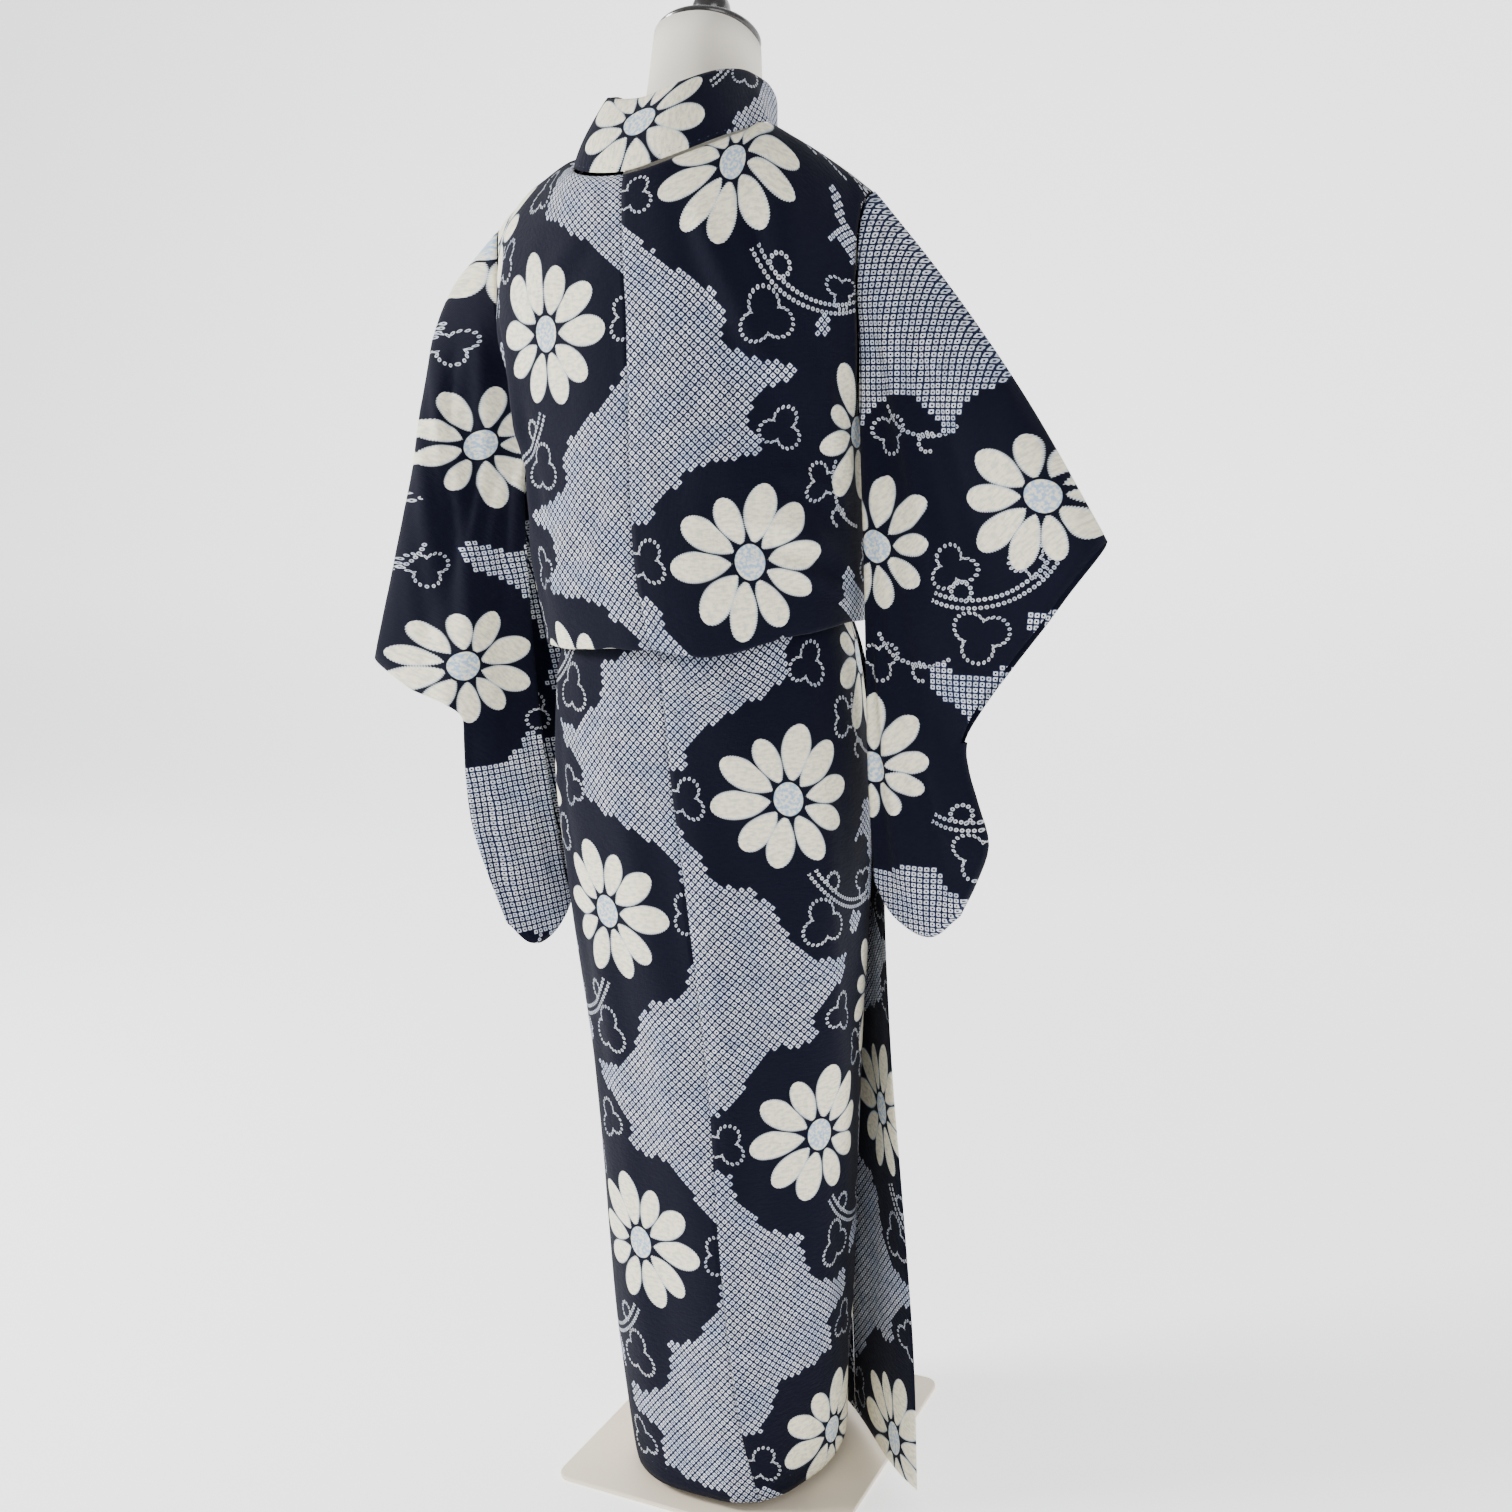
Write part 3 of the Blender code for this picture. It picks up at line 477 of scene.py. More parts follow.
class Rings:
    """Rings of cloth round the body, and places on them."""

    @staticmethod
    def at(columns: Columns, z: float) -> Array:
        """The ring's five sizes at a height.

        Args:
            columns: The table's columns.
            z: The height.

        Returns:
            The sizes there.
        """
        return np.array([smooth(columns, "z", name, z) for name in RING_COLUMNS])

    @staticmethod
    def grown(sizes: Array, by: float) -> Array:
        """A ring that stands further out by a distance.

        Args:
            sizes: The ring's five sizes.
            by: The distance.

        Returns:
            The new sizes.
        """
        return sizes + np.array((0, 0, by, by, by))

    @staticmethod
    def on(sizes: Array, turn: Array) -> Array:
        """Points of a ring. Turn is in radians from the middle of the back and grows to the wearer's left.

        Args:
            sizes: The ring's five sizes.
            turn: The turn of each point.

        Returns:
            The points in plan.
        """
        mid_x, mid_y, half_x, back, front = sizes
        across = np.sin(turn)
        along = np.cos(turn)
        power = 2 / ROUNDNESS
        x = mid_x + half_x * np.sign(across) * np.abs(across) ** power
        y = mid_y + np.where(along > 0, back, front) * np.sign(along) * np.abs(along) ** power
        return np.stack([x, y], axis=-1)

    @classmethod
    def walk(cls, sizes: Array, z: float) -> Array:
        """Lengths round the ring from the centre back seam, for each of TURNS.

        Args:
            sizes: The ring's five sizes.
            z: The row's height.

        Returns:
            One length for each turn.
        """
        points = cls.on(sizes, TURNS)
        lengths = walked(points)
        back = np.abs(TURNS) < np.pi / 2
        return lengths - np.interp(smooth(SEAM, "z", "x", z), points[back, 0], lengths[back])

    @classmethod
    def points(cls, sizes: Array, z: float, arcs: Array) -> Array:
        """Points of the ring at lengths from the centre back seam, growing to the wearer's left.

        Args:
            sizes: The ring's five sizes.
            z: The row's height.
            arcs: Lengths round the ring.

        Returns:
            A point for each length.
        """
        return cls.on(sizes, np.interp(arcs, cls.walk(sizes, z), TURNS))

    @classmethod
    def arc(cls, sizes: Array, z: float, degrees: float) -> float:
        """The length from the centre back seam to a turn.

        Args:
            sizes: The ring's five sizes.
            z: The row's height.
            degrees: The turn.

        Returns:
            The length.
        """
        return float(np.interp(np.radians(degrees), TURNS, cls.walk(sizes, z)))

    @staticmethod
    def pushed(points: Array, sizes: Array, by: Array) -> Array:
        """Points moved outwards from the middle of their ring.

        Args:
            points: The points.
            sizes: The ring's five sizes.
            by: How far each goes.

        Returns:
            The moved points.
        """
        return points + unit(points - sizes[:2]) * by[:, None]


def fold_heights(folds: Columns, arc: Array, z: Array) -> Array:
    """How far folds lift the cloth at points given by arc and height.

    Args:
        folds: The table of folds.
        arc: The points' lengths round the ring.
        z: The points' heights.

    Returns:
        A lift for each point.
    """
    lift = np.zeros(np.shape(arc))
    for arc_top, z_top, arc_low, z_low, width, height in zip(*folds.values()):
        t = (z_top - z) / (z_top - z_low)
        centre = arc_top + (arc_low - arc_top) * t
        fade = ease(t / 0.25) * ease((1.05 - t) / 0.25)
        lift = lift + height * fade * np.exp(-(((arc - centre) / width) ** 2))
    return lift


class BodyCut:
    """The body panels, strips, collar and sleeves as sheets of points."""

    def __init__(self) -> None:
        self.backs = {sign: self.back_sheet(sign) for sign in (1, -1)}
        self.fronts = {1: self.front_sheets(True), -1: self.front_sheets(False)}

    @staticmethod
    def tuck_rows() -> list[tuple[Array, float, bool]]:
        """Rows of a sheet that folds over at the waist: ring sizes, height and whether the row is skirt."""
        rows = [(Rings.at(UPPER, z), z, False) for z in np.linspace(CHEST, TUCK_EDGE + 0.012, 9)]
        edge = Rings.at(UPPER, TUCK_EDGE)
        for turn in np.radians((10, 60, 120, 170)):
            ring = Rings.grown(edge, -TUCK_TURN * (1 - np.cos(turn)))
            rows.append((ring, TUCK_EDGE - TUCK_TURN * np.sin(turn), False))
        inner_low = Rings.grown(edge, -2 * TUCK_TURN)
        inner_top = Rings.grown(Rings.at(SKIRT, TUCK_TOP), 2 * TUCK_TURN)
        for share in (0.3, 0.65):
            height = TUCK_EDGE + (TUCK_TOP - TUCK_EDGE) * share
            rows.append((inner_low + (inner_top - inner_low) * share, height, False))
        for turn in np.radians((10, 60, 120, 170)):
            ring = Rings.grown(inner_top, -TUCK_TURN * (1 - np.cos(turn)))
            rows.append((ring, TUCK_TOP + TUCK_TURN * np.sin(turn), True))
        return rows + [(Rings.at(SKIRT, z), z, True) for z in SKIRT_ROWS]

    @staticmethod
    def plain_rows() -> list[tuple[Array, float, bool]]:
        """Rows of the under front, which goes straight down and hides under the over front."""
        rows = [(Rings.at(UPPER, z), z, False) for z in np.linspace(CHEST, BLOUSE, 7)]
        blouse = Rings.at(UPPER, BLOUSE)
        waist = Rings.at(SKIRT, TUCK_TOP)
        for share in (0.3, 0.65, 1.0):
            rows.append((blouse + (waist - blouse) * ease(share), BLOUSE + (WAIST - BLOUSE) * share, False))
        return rows + [(Rings.at(SKIRT, z), z, True) for z in (TUCK_TOP,) + SKIRT_ROWS]

    @staticmethod
    def side_arc(sign: int, panel: str, sizes: Array, z: float, skirt: bool) -> float:
        """Length from the centre back seam to the panel's side edge.

        Args:
            sign: +1 on the wearer's left, -1 on the right.
            panel: Which panel.
            sizes: The ring's five sizes.
            z: The row's height.
            skirt: Whether the row is below the tuck.

        Returns:
            The length.
        """
        if skirt:
            turn = SIDE_AT_WAIST + 60 * ease((0.76 - z) / 0.2)
            return sign * min(BACK_WIDTH, abs(Rings.arc(sizes, z, sign * turn)))
        reach = abs(Rings.arc(sizes, z, sign * smooth(SIDE, "z", panel, z)))
        if panel == "back" or z < ARMHOLE_END:
            reach = min(reach, BACK_WIDTH)
        return sign * reach

    @staticmethod
    def lowered_tuck(points: Array, z: float) -> Array:
        """Heights of a row's points, with the tuck's uneven edge worked in near the waist.

        Args:
            points: The points.
            z: The row's height.

        Returns:
            The new heights.
        """
        near = ease((z - TUCK_EDGE + 0.07) / 0.05) * ease((TUCK_EDGE + 0.055 - z) / 0.05)
        dip = -0.008 * np.exp(-(((points[:, 0] + 0.068) / 0.034) ** 2)) * ease(points[:, 1] / 0.03)
        rise = 0.010 * ease((-points[:, 0] - 0.10) / 0.06)
        return z + near * (dip + rise)

    @staticmethod
    def shoulder_line(sign: int, side: int, shares: Array) -> Array:
        """The line from the collar out to the shoulder's tip. Side is +1 for the back panel.

        Args:
            sign: +1 on the wearer's left, -1 on the right.
            side: +1 for the back panel, -1 for the front.
            shares: Shares of the way out.

        Returns:
            A point for each share.
        """
        neck = line_at(NECK, "step", 3.0 * sign)
        points = neck + (TIP[sign] - neck) * shares[:, None]
        points[:, 1] += side * (SEAM_GAP / 2 + 0.65 * CLOTH * ease(shares / 0.7))
        points[:, 2] += 0.004 * np.sin(np.pi * shares)
        return points

    @staticmethod
    def over_shoulder(top: Array, chest_row: Array) -> list[Array]:
        """Rows that round the shoulder from a top line to the row at the chest.

        Args:
            top: The top line.
            chest_row: The row at the chest.

        Returns:
            The rows between them.
        """
        rows = []
        for way in np.linspace(0, np.pi / 2, SHOULDER_ROWS, endpoint=False):
            row = top.copy()
            row[:, :2] += (chest_row[:, :2] - top[:, :2]) * np.sin(way)
            row[:, 2] += (chest_row[:, 2] - top[:, 2]) * (1 - np.cos(way))
            rows.append(row)
        return rows

    def back_sheet(self, sign: int) -> Array:
        """A back panel, from the shoulder over the tuck to the hem.

        Args:
            sign: +1 on the wearer's left, -1 on the right.

        Returns:
            The panel as a grid of points.
        """
        neck_shares = np.linspace(0, NECK_SHARE, BACK_NECK_COLUMNS)
        out_shares = np.linspace(NECK_SHARE, 1, BACK_SHOULDER_COLUMNS)[1:]
        shares = np.concatenate([neck_shares, out_shares])
        rows = []
        for sizes, z, skirt in self.tuck_rows():
            arcs = sign * SEAM_GAP / 2 + self.side_arc(sign, "back", sizes, z, skirt) * shares
            points = Rings.points(sizes, z, arcs)
            heights = self.lowered_tuck(points, z)
            lift = fold_heights(SKIRT_FOLDS if skirt else BACK_FOLDS, arcs, z)
            calm = 1 - 0.75 * ease((TUCK_TOP + 0.005 - z) / 0.03) * (z > 0.80)
            rows.append(np.column_stack([Rings.pushed(points, sizes, lift * calm), heights]))
        neck = line_at(NECK, "step", 3 * sign * neck_shares / NECK_SHARE)
        neck[:-1, 2] -= CORNER_GAP
        line = self.shoulder_line(sign, 1, (out_shares - NECK_SHARE) / (1 - NECK_SHARE))
        top = np.concatenate([neck, line])
        top[0, 0] += sign * SEAM_GAP / 2
        top[:BACK_NECK_COLUMNS, 1] += SEAM_GAP / 2
        return np.array(self.over_shoulder(top, rows[0]) + rows)

    def over_line(self, sizes: Array, z: float, skirt: bool) -> Array:
        """The over side's row in plan, from the side seam to its free edge or its collar.

        Args:
            sizes: The ring's five sizes.
            z: The row's height.
            skirt: Whether the row is below the tuck.

        Returns:
            The row's points.
        """
        begin = self.side_arc(1, "over", sizes, z, skirt) + SEAM_GAP
        turn = smooth(OVER_EDGE, "z", "leave", z) if skirt else smooth(COLLAR_TURN, "z", "left", z)
        end = Rings.arc(sizes, z, float(turn))
        points = Rings.points(sizes, z, begin + (end - begin) * SHARES)
        points = Rings.pushed(points, sizes, LAYER_STEP * ease(SHARES))
        if not skirt:
            return points
        free = np.array((smooth(OVER_EDGE, "z", "x", z), smooth(OVER_EDGE, "z", "y", z)))
        free += unit(free - sizes[:2]) * (sizes[2] - smooth(SKIRT, "z", "half_x", z))
        heading = np.radians(smooth(OVER_EDGE, "z", "heading", z))
        reach = np.linalg.norm(free - points[-1]) / 3
        way = points[-1] - points[-2]
        first = points[-1] + reach * way / np.linalg.norm(way)
        second = free - reach * np.array((np.cos(heading), np.sin(heading)))
        t = SHARES[1:, None]
        flare = (1 - t) ** 3 * points[-1] + 3 * (1 - t) ** 2 * t * first
        flare = flare + 3 * (1 - t) * t**2 * second + t**3 * free
        return np.concatenate([points, flare])

    def under_line(self, sizes: Array, z: float, skirt: bool) -> Array:
        """The under side's row in plan, from the side seam to its free edge or its collar.

        Args:
            sizes: The ring's five sizes.
            z: The row's height.
            skirt: Whether the row is below the tuck.

        Returns:
            The row's points.
        """
        begin = self.side_arc(-1, "under", sizes, z, skirt) - SEAM_GAP
        turn = smooth(UNDER_EDGE, "z", "turn", z) if skirt else smooth(COLLAR_TURN, "z", "right", z)
        end = Rings.arc(sizes, z, -float(turn))
        points = Rings.points(sizes, z, begin + (end - begin) * SHARES)
        return Rings.pushed(points, sizes, -LAYER_STEP * ease(SHARES * 1.6))

    @staticmethod
    def front_share(over: bool, length: float, z: float, skirt: bool) -> float:
        """The share of a row that the front panel takes. The strip beside it takes the rest.

        Args:
            over: Whether it is the side that lies over the other.
            length: The row's length.
            z: The row's height.
            skirt: Whether the row is below the tuck.

        Returns:
            The share.
        """
        if skirt:
            return FRONT_WIDTH / (FRONT_WIDTH + OKUMI_WIDTH)
        return 1 - smooth(STRIP, "z", "left" if over else "right", z) / length if z < OKUMI_TIP else 1.0

    def front_sheets(self, over: bool) -> tuple[Array, Array]:
        """The front panel and the strip beside it, as two grids of points.

        Args:
            over: Whether it is the side that lies over the other.

        Returns:
            The two grids.
        """
        front = []
        strip = []
        for sizes, z, skirt in self.tuck_rows() if over else self.plain_rows():
            line = self.over_line(sizes, z, skirt) if over else self.under_line(sizes, z, skirt)
            length = walked(line)[-1]
            share = self.front_share(over, length, z, skirt)
            plans = [(front, np.linspace(0, share, FRONT_COLUMNS))]
            if share < 1:
                plans.append((strip, np.linspace(share + 3 * SEAM_GAP / length, 1, OKUMI_COLUMNS)))
            for rows, shares in plans:
                plan = resampled(line, shares)
                heights = self.lowered_tuck(plan, z) if over else np.full(len(plan), z)
                rows.append(np.column_stack([plan, heights]))
        top = self.shoulder_line(1 if over else -1, -1, np.linspace(1, 0, FRONT_COLUMNS))
        return np.array(self.over_shoulder(top, front[0]) + front), np.array(strip)

    def collar_seam(self, sign: int) -> tuple[Array, Array]:
        """Seam points from the middle of the back to the collar's end, and their steps.

        Args:
            sign: +1 on the wearer's left, -1 on the right.

        Returns:
            The points, and the step at each.
        """
        front, strip = self.fronts[sign]
        steps = np.linspace(0, 3, 9)
        down = front[1:, -1]
        edge = np.concatenate([down[down[:, 2] > strip[0, -1, 2] + 0.001], strip[:, -1]])
        edge = edge[: np.argmax(edge[:, 2] < COLLAR_END[sign] - 0.001)]
        top = front[0, -1, 2]
        bend = np.arccos(np.clip((edge[:, 2] - CHEST) / (top - CHEST), 0, 1)) / (np.pi / 2)
        below = (CHEST - edge[:, 2]) / (CHEST - COLLAR_END[sign])
        front_steps = np.where(edge[:, 2] > CHEST, 3 + 3 * bend, 6 + 3 * below)
        return np.concatenate([line_at(NECK, "step", sign * steps), edge]), np.concatenate([steps, front_steps])

    def collar_sheet(self) -> Array:
        """The collar, from its end on the left front round the neck to its end on the right front."""
        halves = {}
        for sign in (1, -1):
            seam, steps = self.collar_seam(sign)
            edge = line_at(COLLAR_EDGE, "step", sign * steps)
            seam = seam + 0.6 * CORNER_GAP * unit(edge - seam)
            bow = np.array((0.0, 0.006, 0.0)) * ease((3.5 - steps) / 3)[:, None]
            middle = [(2 * seam + edge) / 3 + bow, (seam + 2 * edge) / 3 + bow]
            halves[sign] = np.stack([seam, *middle, edge], axis=1)
        return np.concatenate([halves[1][::-1], halves[-1][1:]])

    def sleeve_layer(self, sign: int, side: int) -> Array:
        """One layer of a sleeve. Side is +1 for the back layer.

        Args:
            sign: +1 on the wearer's left, -1 on the right.
            side: +1 for the back layer, -1 for the front.

        Returns:
            The layer as a grid of points.
        """
        down = np.array(SLEEVE_DOWN)
        across = np.linspace(0, 1, SLEEVE_ACROSS)
        seam = self.backs[sign][:, -1] if side > 0 else self.fronts[sign][0][:, 0]
        armhole = seam[seam[:, 2] > ARMHOLE_END] + np.array((sign * CORNER_GAP, 0, 0))
        heights = np.linspace(SLEEVE_BODY[sign]["z"][-1], SLEEVE_BODY[sign]["z"][0], 12)
        x, y, apart = (smooth(SLEEVE_BODY[sign], "z", name, heights) for name in ("x", "y", "apart"))
        body = resampled(np.concatenate([armhole, np.column_stack([x, y + side * apart, heights])]), down)
        apart = np.where(down < WRIST_OPEN, WRIST_APART, CLOSED_APART)
        apart = apart * np.sqrt(np.clip(1 - (1 - np.clip(down / 0.12, 0, 1)) ** 2, 0, 1))
        wrist = line_at(SLEEVE_WRIST[sign], "way", down)
        wrist[:, 1] += side * apart
        top = line_at(SLEEVE_TOP[sign], "way", across)
        bottom = line_at(SLEEVE_BOTTOM[sign], "way", across)
        s = across[None, :, None]
        t = down[:, None, None]
        from_top = top - (top[0] + (top[-1] - top[0]) * across[:, None])
        from_low = bottom - (bottom[0] + (bottom[-1] - bottom[0]) * across[:, None])
        sheet = (1 - s) * body[:, None] + s * wrist[:, None] + (1 - t) * from_top + t * from_low
        sheet[..., 1] += side * SLEEVE_BULGE * np.sin(np.pi * s[..., 0]) * np.sin(np.pi * t[..., 0])
        return sheet


def tangents(grid: Array) -> Array:
    """Directions along the grid's first axis, carried on smoothly to its ends.

    Args:
        grid: A grid of points.

    Returns:
        A direction for each point.
    """
    steps = unit(np.diff(grid, axis=0))
    inner = unit(steps[1:] + steps[:-1])
    return np.concatenate([unit(2 * steps[:1] - inner[:1]), inner, unit(2 * steps[-1:] - inner[-1:])])


def grid_normals(grid: Array) -> Array:
    """Normals of a grid of points, with the grid's shape.

    Args:
        grid: A grid of points.

    Returns:
        A normal for each point.
    """
    along = tangents(grid)
    across = tangents(grid.swapaxes(0, 1)).swapaxes(0, 1)
    return unit(np.cross(along, across))


def grid_faces(rows: int, columns: int, closed: bool = False) -> Faces:
    """Faces of a grid of points. A closed grid joins its last row to its first.

    Args:
        rows: Its rows.
        columns: Its columns.
        closed: Whether it closes on itself.

    Returns:
        Corner numbers of each face.
    """
    faces = []
    for row in range(rows if closed else rows - 1):
        below = (row + 1) % rows
        for column in range(columns - 1):
            a = row * columns + column
            b = below * columns + column
            faces.append((a, b, b + 1, a + 1))
    return faces


def face_normals(points: Array, faces: Faces) -> Array:
    """Normals at the points of a sheet, from the faces round each.

    Args:
        points: The points.
        faces: Corner numbers of each face.

    Returns:
        A normal for each point.
    """
    normals = np.zeros(points.shape)
    corners = points[np.array(faces)]
    crossed = np.cross(corners[:, 2] - corners[:, 0], corners[:, 3] - corners[:, 1])
    for corner in range(4):
        np.add.at(normals, np.array(faces)[:, corner], crossed)
    return unit(normals)


def cloth_uv(grid: Array, start: float = 0.0) -> Array:
    """Places on the bolt for each point of a grid: across the cloth, and along its warp.

    Args:
        grid: Rows that run across the cloth, one below the other.
        start: How far across the bolt the first column lies.

    Returns:
        Two lengths in metres for each point.
    """
    across = np.linalg.norm(np.diff(grid, axis=1), axis=2)
    down = np.linalg.norm(np.diff(grid, axis=0), axis=2)
    u = start + np.concatenate([np.zeros((len(grid), 1)), np.cumsum(across, axis=1)], axis=1)
    v = np.concatenate([[0.0], np.cumsum(down.mean(axis=1))])
    return np.stack([u, np.broadcast_to(-v[:, None], u.shape)], axis=-1)


def ripples(uv: Array, seed: int, height: float) -> Array:
    """Small uneven waves of a hung cloth.

    Args:
        uv: Places on the cloth in metres.
        seed: Picks the set of waves.
        height: The largest rise in metres.

    Returns:
        A rise for each place.
    """
    chance = np.random.default_rng(seed)
    rise = np.zeros(uv.shape[:-1])
    for _ in range(14):
        turn = chance.uniform(-0.5, 0.5)
        wave = chance.uniform(0.03, 0.12)
        way = uv[..., 0] * np.cos(turn) + uv[..., 1] * np.sin(turn) * 0.6
        rise += np.sin(2 * np.pi * way / wave + chance.uniform(0, 6)) * wave
    return height * rise / 0.5


@dataclass(frozen=True)
class Crease:
    """A soft trough or ridge between two places on a cloth.

    Attributes:
        start: Where it begins, in metres across and along the cloth.
        end: Where it ends.
        width: How far to each side it spreads.
        height: Its rise, negative for a trough.
        bow: How far its middle bends aside.
    """

    start: tuple[float, float]
    end: tuple[float, float]
    width: float
    height: float
    bow: float = 0.0

    def rise(self, uv: Array) -> Array:
        """The crease's rise at each place on the cloth.

        Args:
            uv: Places on the cloth in metres.

        Returns:
            A rise for each place.
        """
        start = np.array(self.start)
        way = np.array(self.end) - start
        length = np.linalg.norm(way)
        way = way / length
        offset = uv - start
        t = (offset @ way) / length
        aside = offset[..., 0] * way[1] - offset[..., 1] * way[0] - self.bow * np.sin(np.pi * np.clip(t, 0, 1))
        spread = self.width * (0.75 + 0.6 * np.clip(t, 0, 1))
        fade = ease(t / 0.22) * ease((1 - t) / 0.30)
        ridge = np.exp(-((aside / spread) ** 2)) - 0.35 * np.exp(-(((aside - 1.8 * spread) / spread) ** 2))
        return self.height * fade * ridge


def mesh_object(
    name: str, points: Array, faces: Iterable[Sequence[int]], finish: bpy.types.Material
) -> bpy.types.Object:
    """Adds a smooth shaded mesh with one material.

    Args:
        name: The piece's name.
        points: Points before SHIFT is added.
        faces: Corner numbers of each face.
        finish: The piece's material.

    Returns:
        The new object.
    """
    mesh = bpy.data.meshes.new(name)
    mesh.from_pydata((points + SHIFT).tolist(), [], [tuple(int(i) for i in face) for face in faces])
    mesh.materials.append(finish)
    mesh.polygons.foreach_set("use_smooth", [True] * len(mesh.polygons))
    mesh.update()
    made = bpy.data.objects.new(name, mesh)
    bpy.context.scene.collection.objects.link(made)
    return made


def set_uv(piece: bpy.types.Object, uv: Array) -> None:
    """Writes places on the bolt, one for each point, as the piece's UV map.

    Args:
        piece: The piece.
        uv: A place on the bolt for each point.
    """
    layer = piece.data.uv_layers.new(name="bolt")
    loops = np.empty(len(piece.data.loops), int)
    piece.data.loops.foreach_get("vertex_index", loops)
    layer.data.foreach_set("uv", uv[loops].ravel())


def cloth_shell(
    name: str, points: Array, normals: Array, faces: Faces, uv: Array, finish: bpy.types.Material
) -> bpy.types.Object:
    """Adds a thin closed shell about a sheet of points, thinner at its edges so that neighbours don't meet.

    Args:
        name: The piece's name.
        points: Points of the sheet.
        normals: A normal for each point.
        faces: Four corners each.
        uv: A place on the bolt for each point.
        finish: The cloth's material.

    Returns:
        The new object.
    """
    count = len(points)
    edges = {(face[i], face[(i + 1) % 4]) for face in faces for i in range(4)}
    rim = [(a, b) for a, b in sorted(edges) if (b, a) not in edges]
    half = np.full((count, 1), SHOWN_CLOTH / 2)
    half[sorted({corner for edge in rim for corner in edge})] *= SEAM_SHARE
    both = np.concatenate([points + normals * half, points - normals * half])
    shell = list(faces) + [tuple(corner + count for corner in face[::-1]) for face in faces]
    shell += [(b, a, a + count, b + count) for a, b in rim]
    piece = mesh_object(name, both, shell, finish)
    set_uv(piece, np.concatenate([uv, uv]))
    return piece


class Maths:
    """Builds math nodes in a tree, so that a pattern reads as a sum."""

    def __init__(self, tree: bpy.types.NodeTree) -> None:
        self.tree = tree

    def add(self, kind: str, **values: object) -> bpy.types.Node:
        """Adds a node and sets its properties.

        Args:
            kind: The node's type.
            values: Properties to set on it.

        Returns:
            The node.
        """
        node = self.tree.nodes.new(kind)
        for name, value in values.items():
            setattr(node, name, value)
        return node

    def join(self, value: object, socket: bpy.types.NodeSocket) -> None:
        """Links a socket, or sets a number, on an input.

        Args:
            value: A socket or a number.
            socket: The input.
        """
        if isinstance(value, bpy.types.NodeSocket):
            self.tree.links.new(value, socket)
        else:
            socket.default_value = value

    def do(self, operation: str, *values: object, clamp: bool = False) -> bpy.types.NodeSocket:
        """A math node's output.

        Args:
            operation: The node's operation.
            values: Sockets or numbers for its inputs, in order.
            clamp: Whether the result is kept between 0 and 1.

        Returns:
            Its result.
        """
        node = self.add("ShaderNodeMath", operation=operation, use_clamp=clamp)
        for value, socket in zip(values, node.inputs):
            self.join(value, socket)
        return node.outputs[0]

    def step(self, value: object, low: float, high: float) -> bpy.types.NodeSocket:
        """A soft step from 0 at low to 1 at high.

        Args:
            value: The value.
            low: Where it is 0.
            high: Where it is 1.

        Returns:
            The share.
        """
        node = self.add("ShaderNodeMapRange", interpolation_type="SMOOTHSTEP")
        for index, item in enumerate((value, low, high, 0.0, 1.0)):
            self.join(item, node.inputs[index])
        return node.outputs[0]

    def mix(self, share: object, first: object, second: object) -> bpy.types.NodeSocket:
        """A colour between two others.

        Args:
            share: The second colour's share.
            first: The first colour.
            second: The second colour.

        Returns:
            The mixed colour.
        """
        node = self.add("ShaderNodeMix", data_type="RGBA")
        self.join(share, node.inputs[0])
        self.join(first, node.inputs[6])
        self.join(second, node.inputs[7])
        return node.outputs[2]

    def split(self, vector: bpy.types.NodeSocket) -> tuple[bpy.types.NodeSocket, bpy.types.NodeSocket]:
        """A vector's x and y.

        Args:
            vector: The vector.

        Returns:
            Its two parts.
        """
        node = self.add("ShaderNodeSeparateXYZ")
        self.join(vector, node.inputs[0])
        return node.outputs[0], node.outputs[1]

    def pair(self, x: object, y: object, z: object = 0.0) -> bpy.types.NodeSocket:
        """A vector from its parts.

        Args:
            x: The first part.
            y: The second part.
            z: The third part.

        Returns:
            The vector.
        """
        node = self.add("ShaderNodeCombineXYZ")
        for value, socket in zip((x, y, z), node.inputs):
            self.join(value, socket)
        return node.outputs[0]

    def noise(self, vector: object, scale: float, detail: float = 2.0) -> bpy.types.NodeSocket:
        """A noise value round 0.5.

        Args:
            vector: Where to read it.
            scale: How many swings to a metre.
            detail: How many finer layers.

        Returns:
            The noise.
        """
        node = self.add("ShaderNodeTexNoise")
        self.join(vector, node.inputs["Vector"])
        node.inputs["Scale"].default_value = scale
        node.inputs["Detail"].default_value = detail
        return node.outputs[0]

    def length(self, x: object, y: object) -> bpy.types.NodeSocket:
        """The length of a flat vector.

        Args:
            x: The first part.
            y: The second part.

        Returns:
            The length.
        """
        squares = self.do("ADD", self.do("MULTIPLY", x, x), self.do("MULTIPLY", y, y))
        return self.do("SQRT", squares)

    def wrapped(self, value: object, period: float) -> bpy.types.NodeSocket:
        """A value brought into the half period on either side of 0.

        Args:
            value: The value.
            period: The period.

        Returns:
            The value within half a period of 0.
        """
        return self.do("WRAP", value, period / 2, -period / 2)


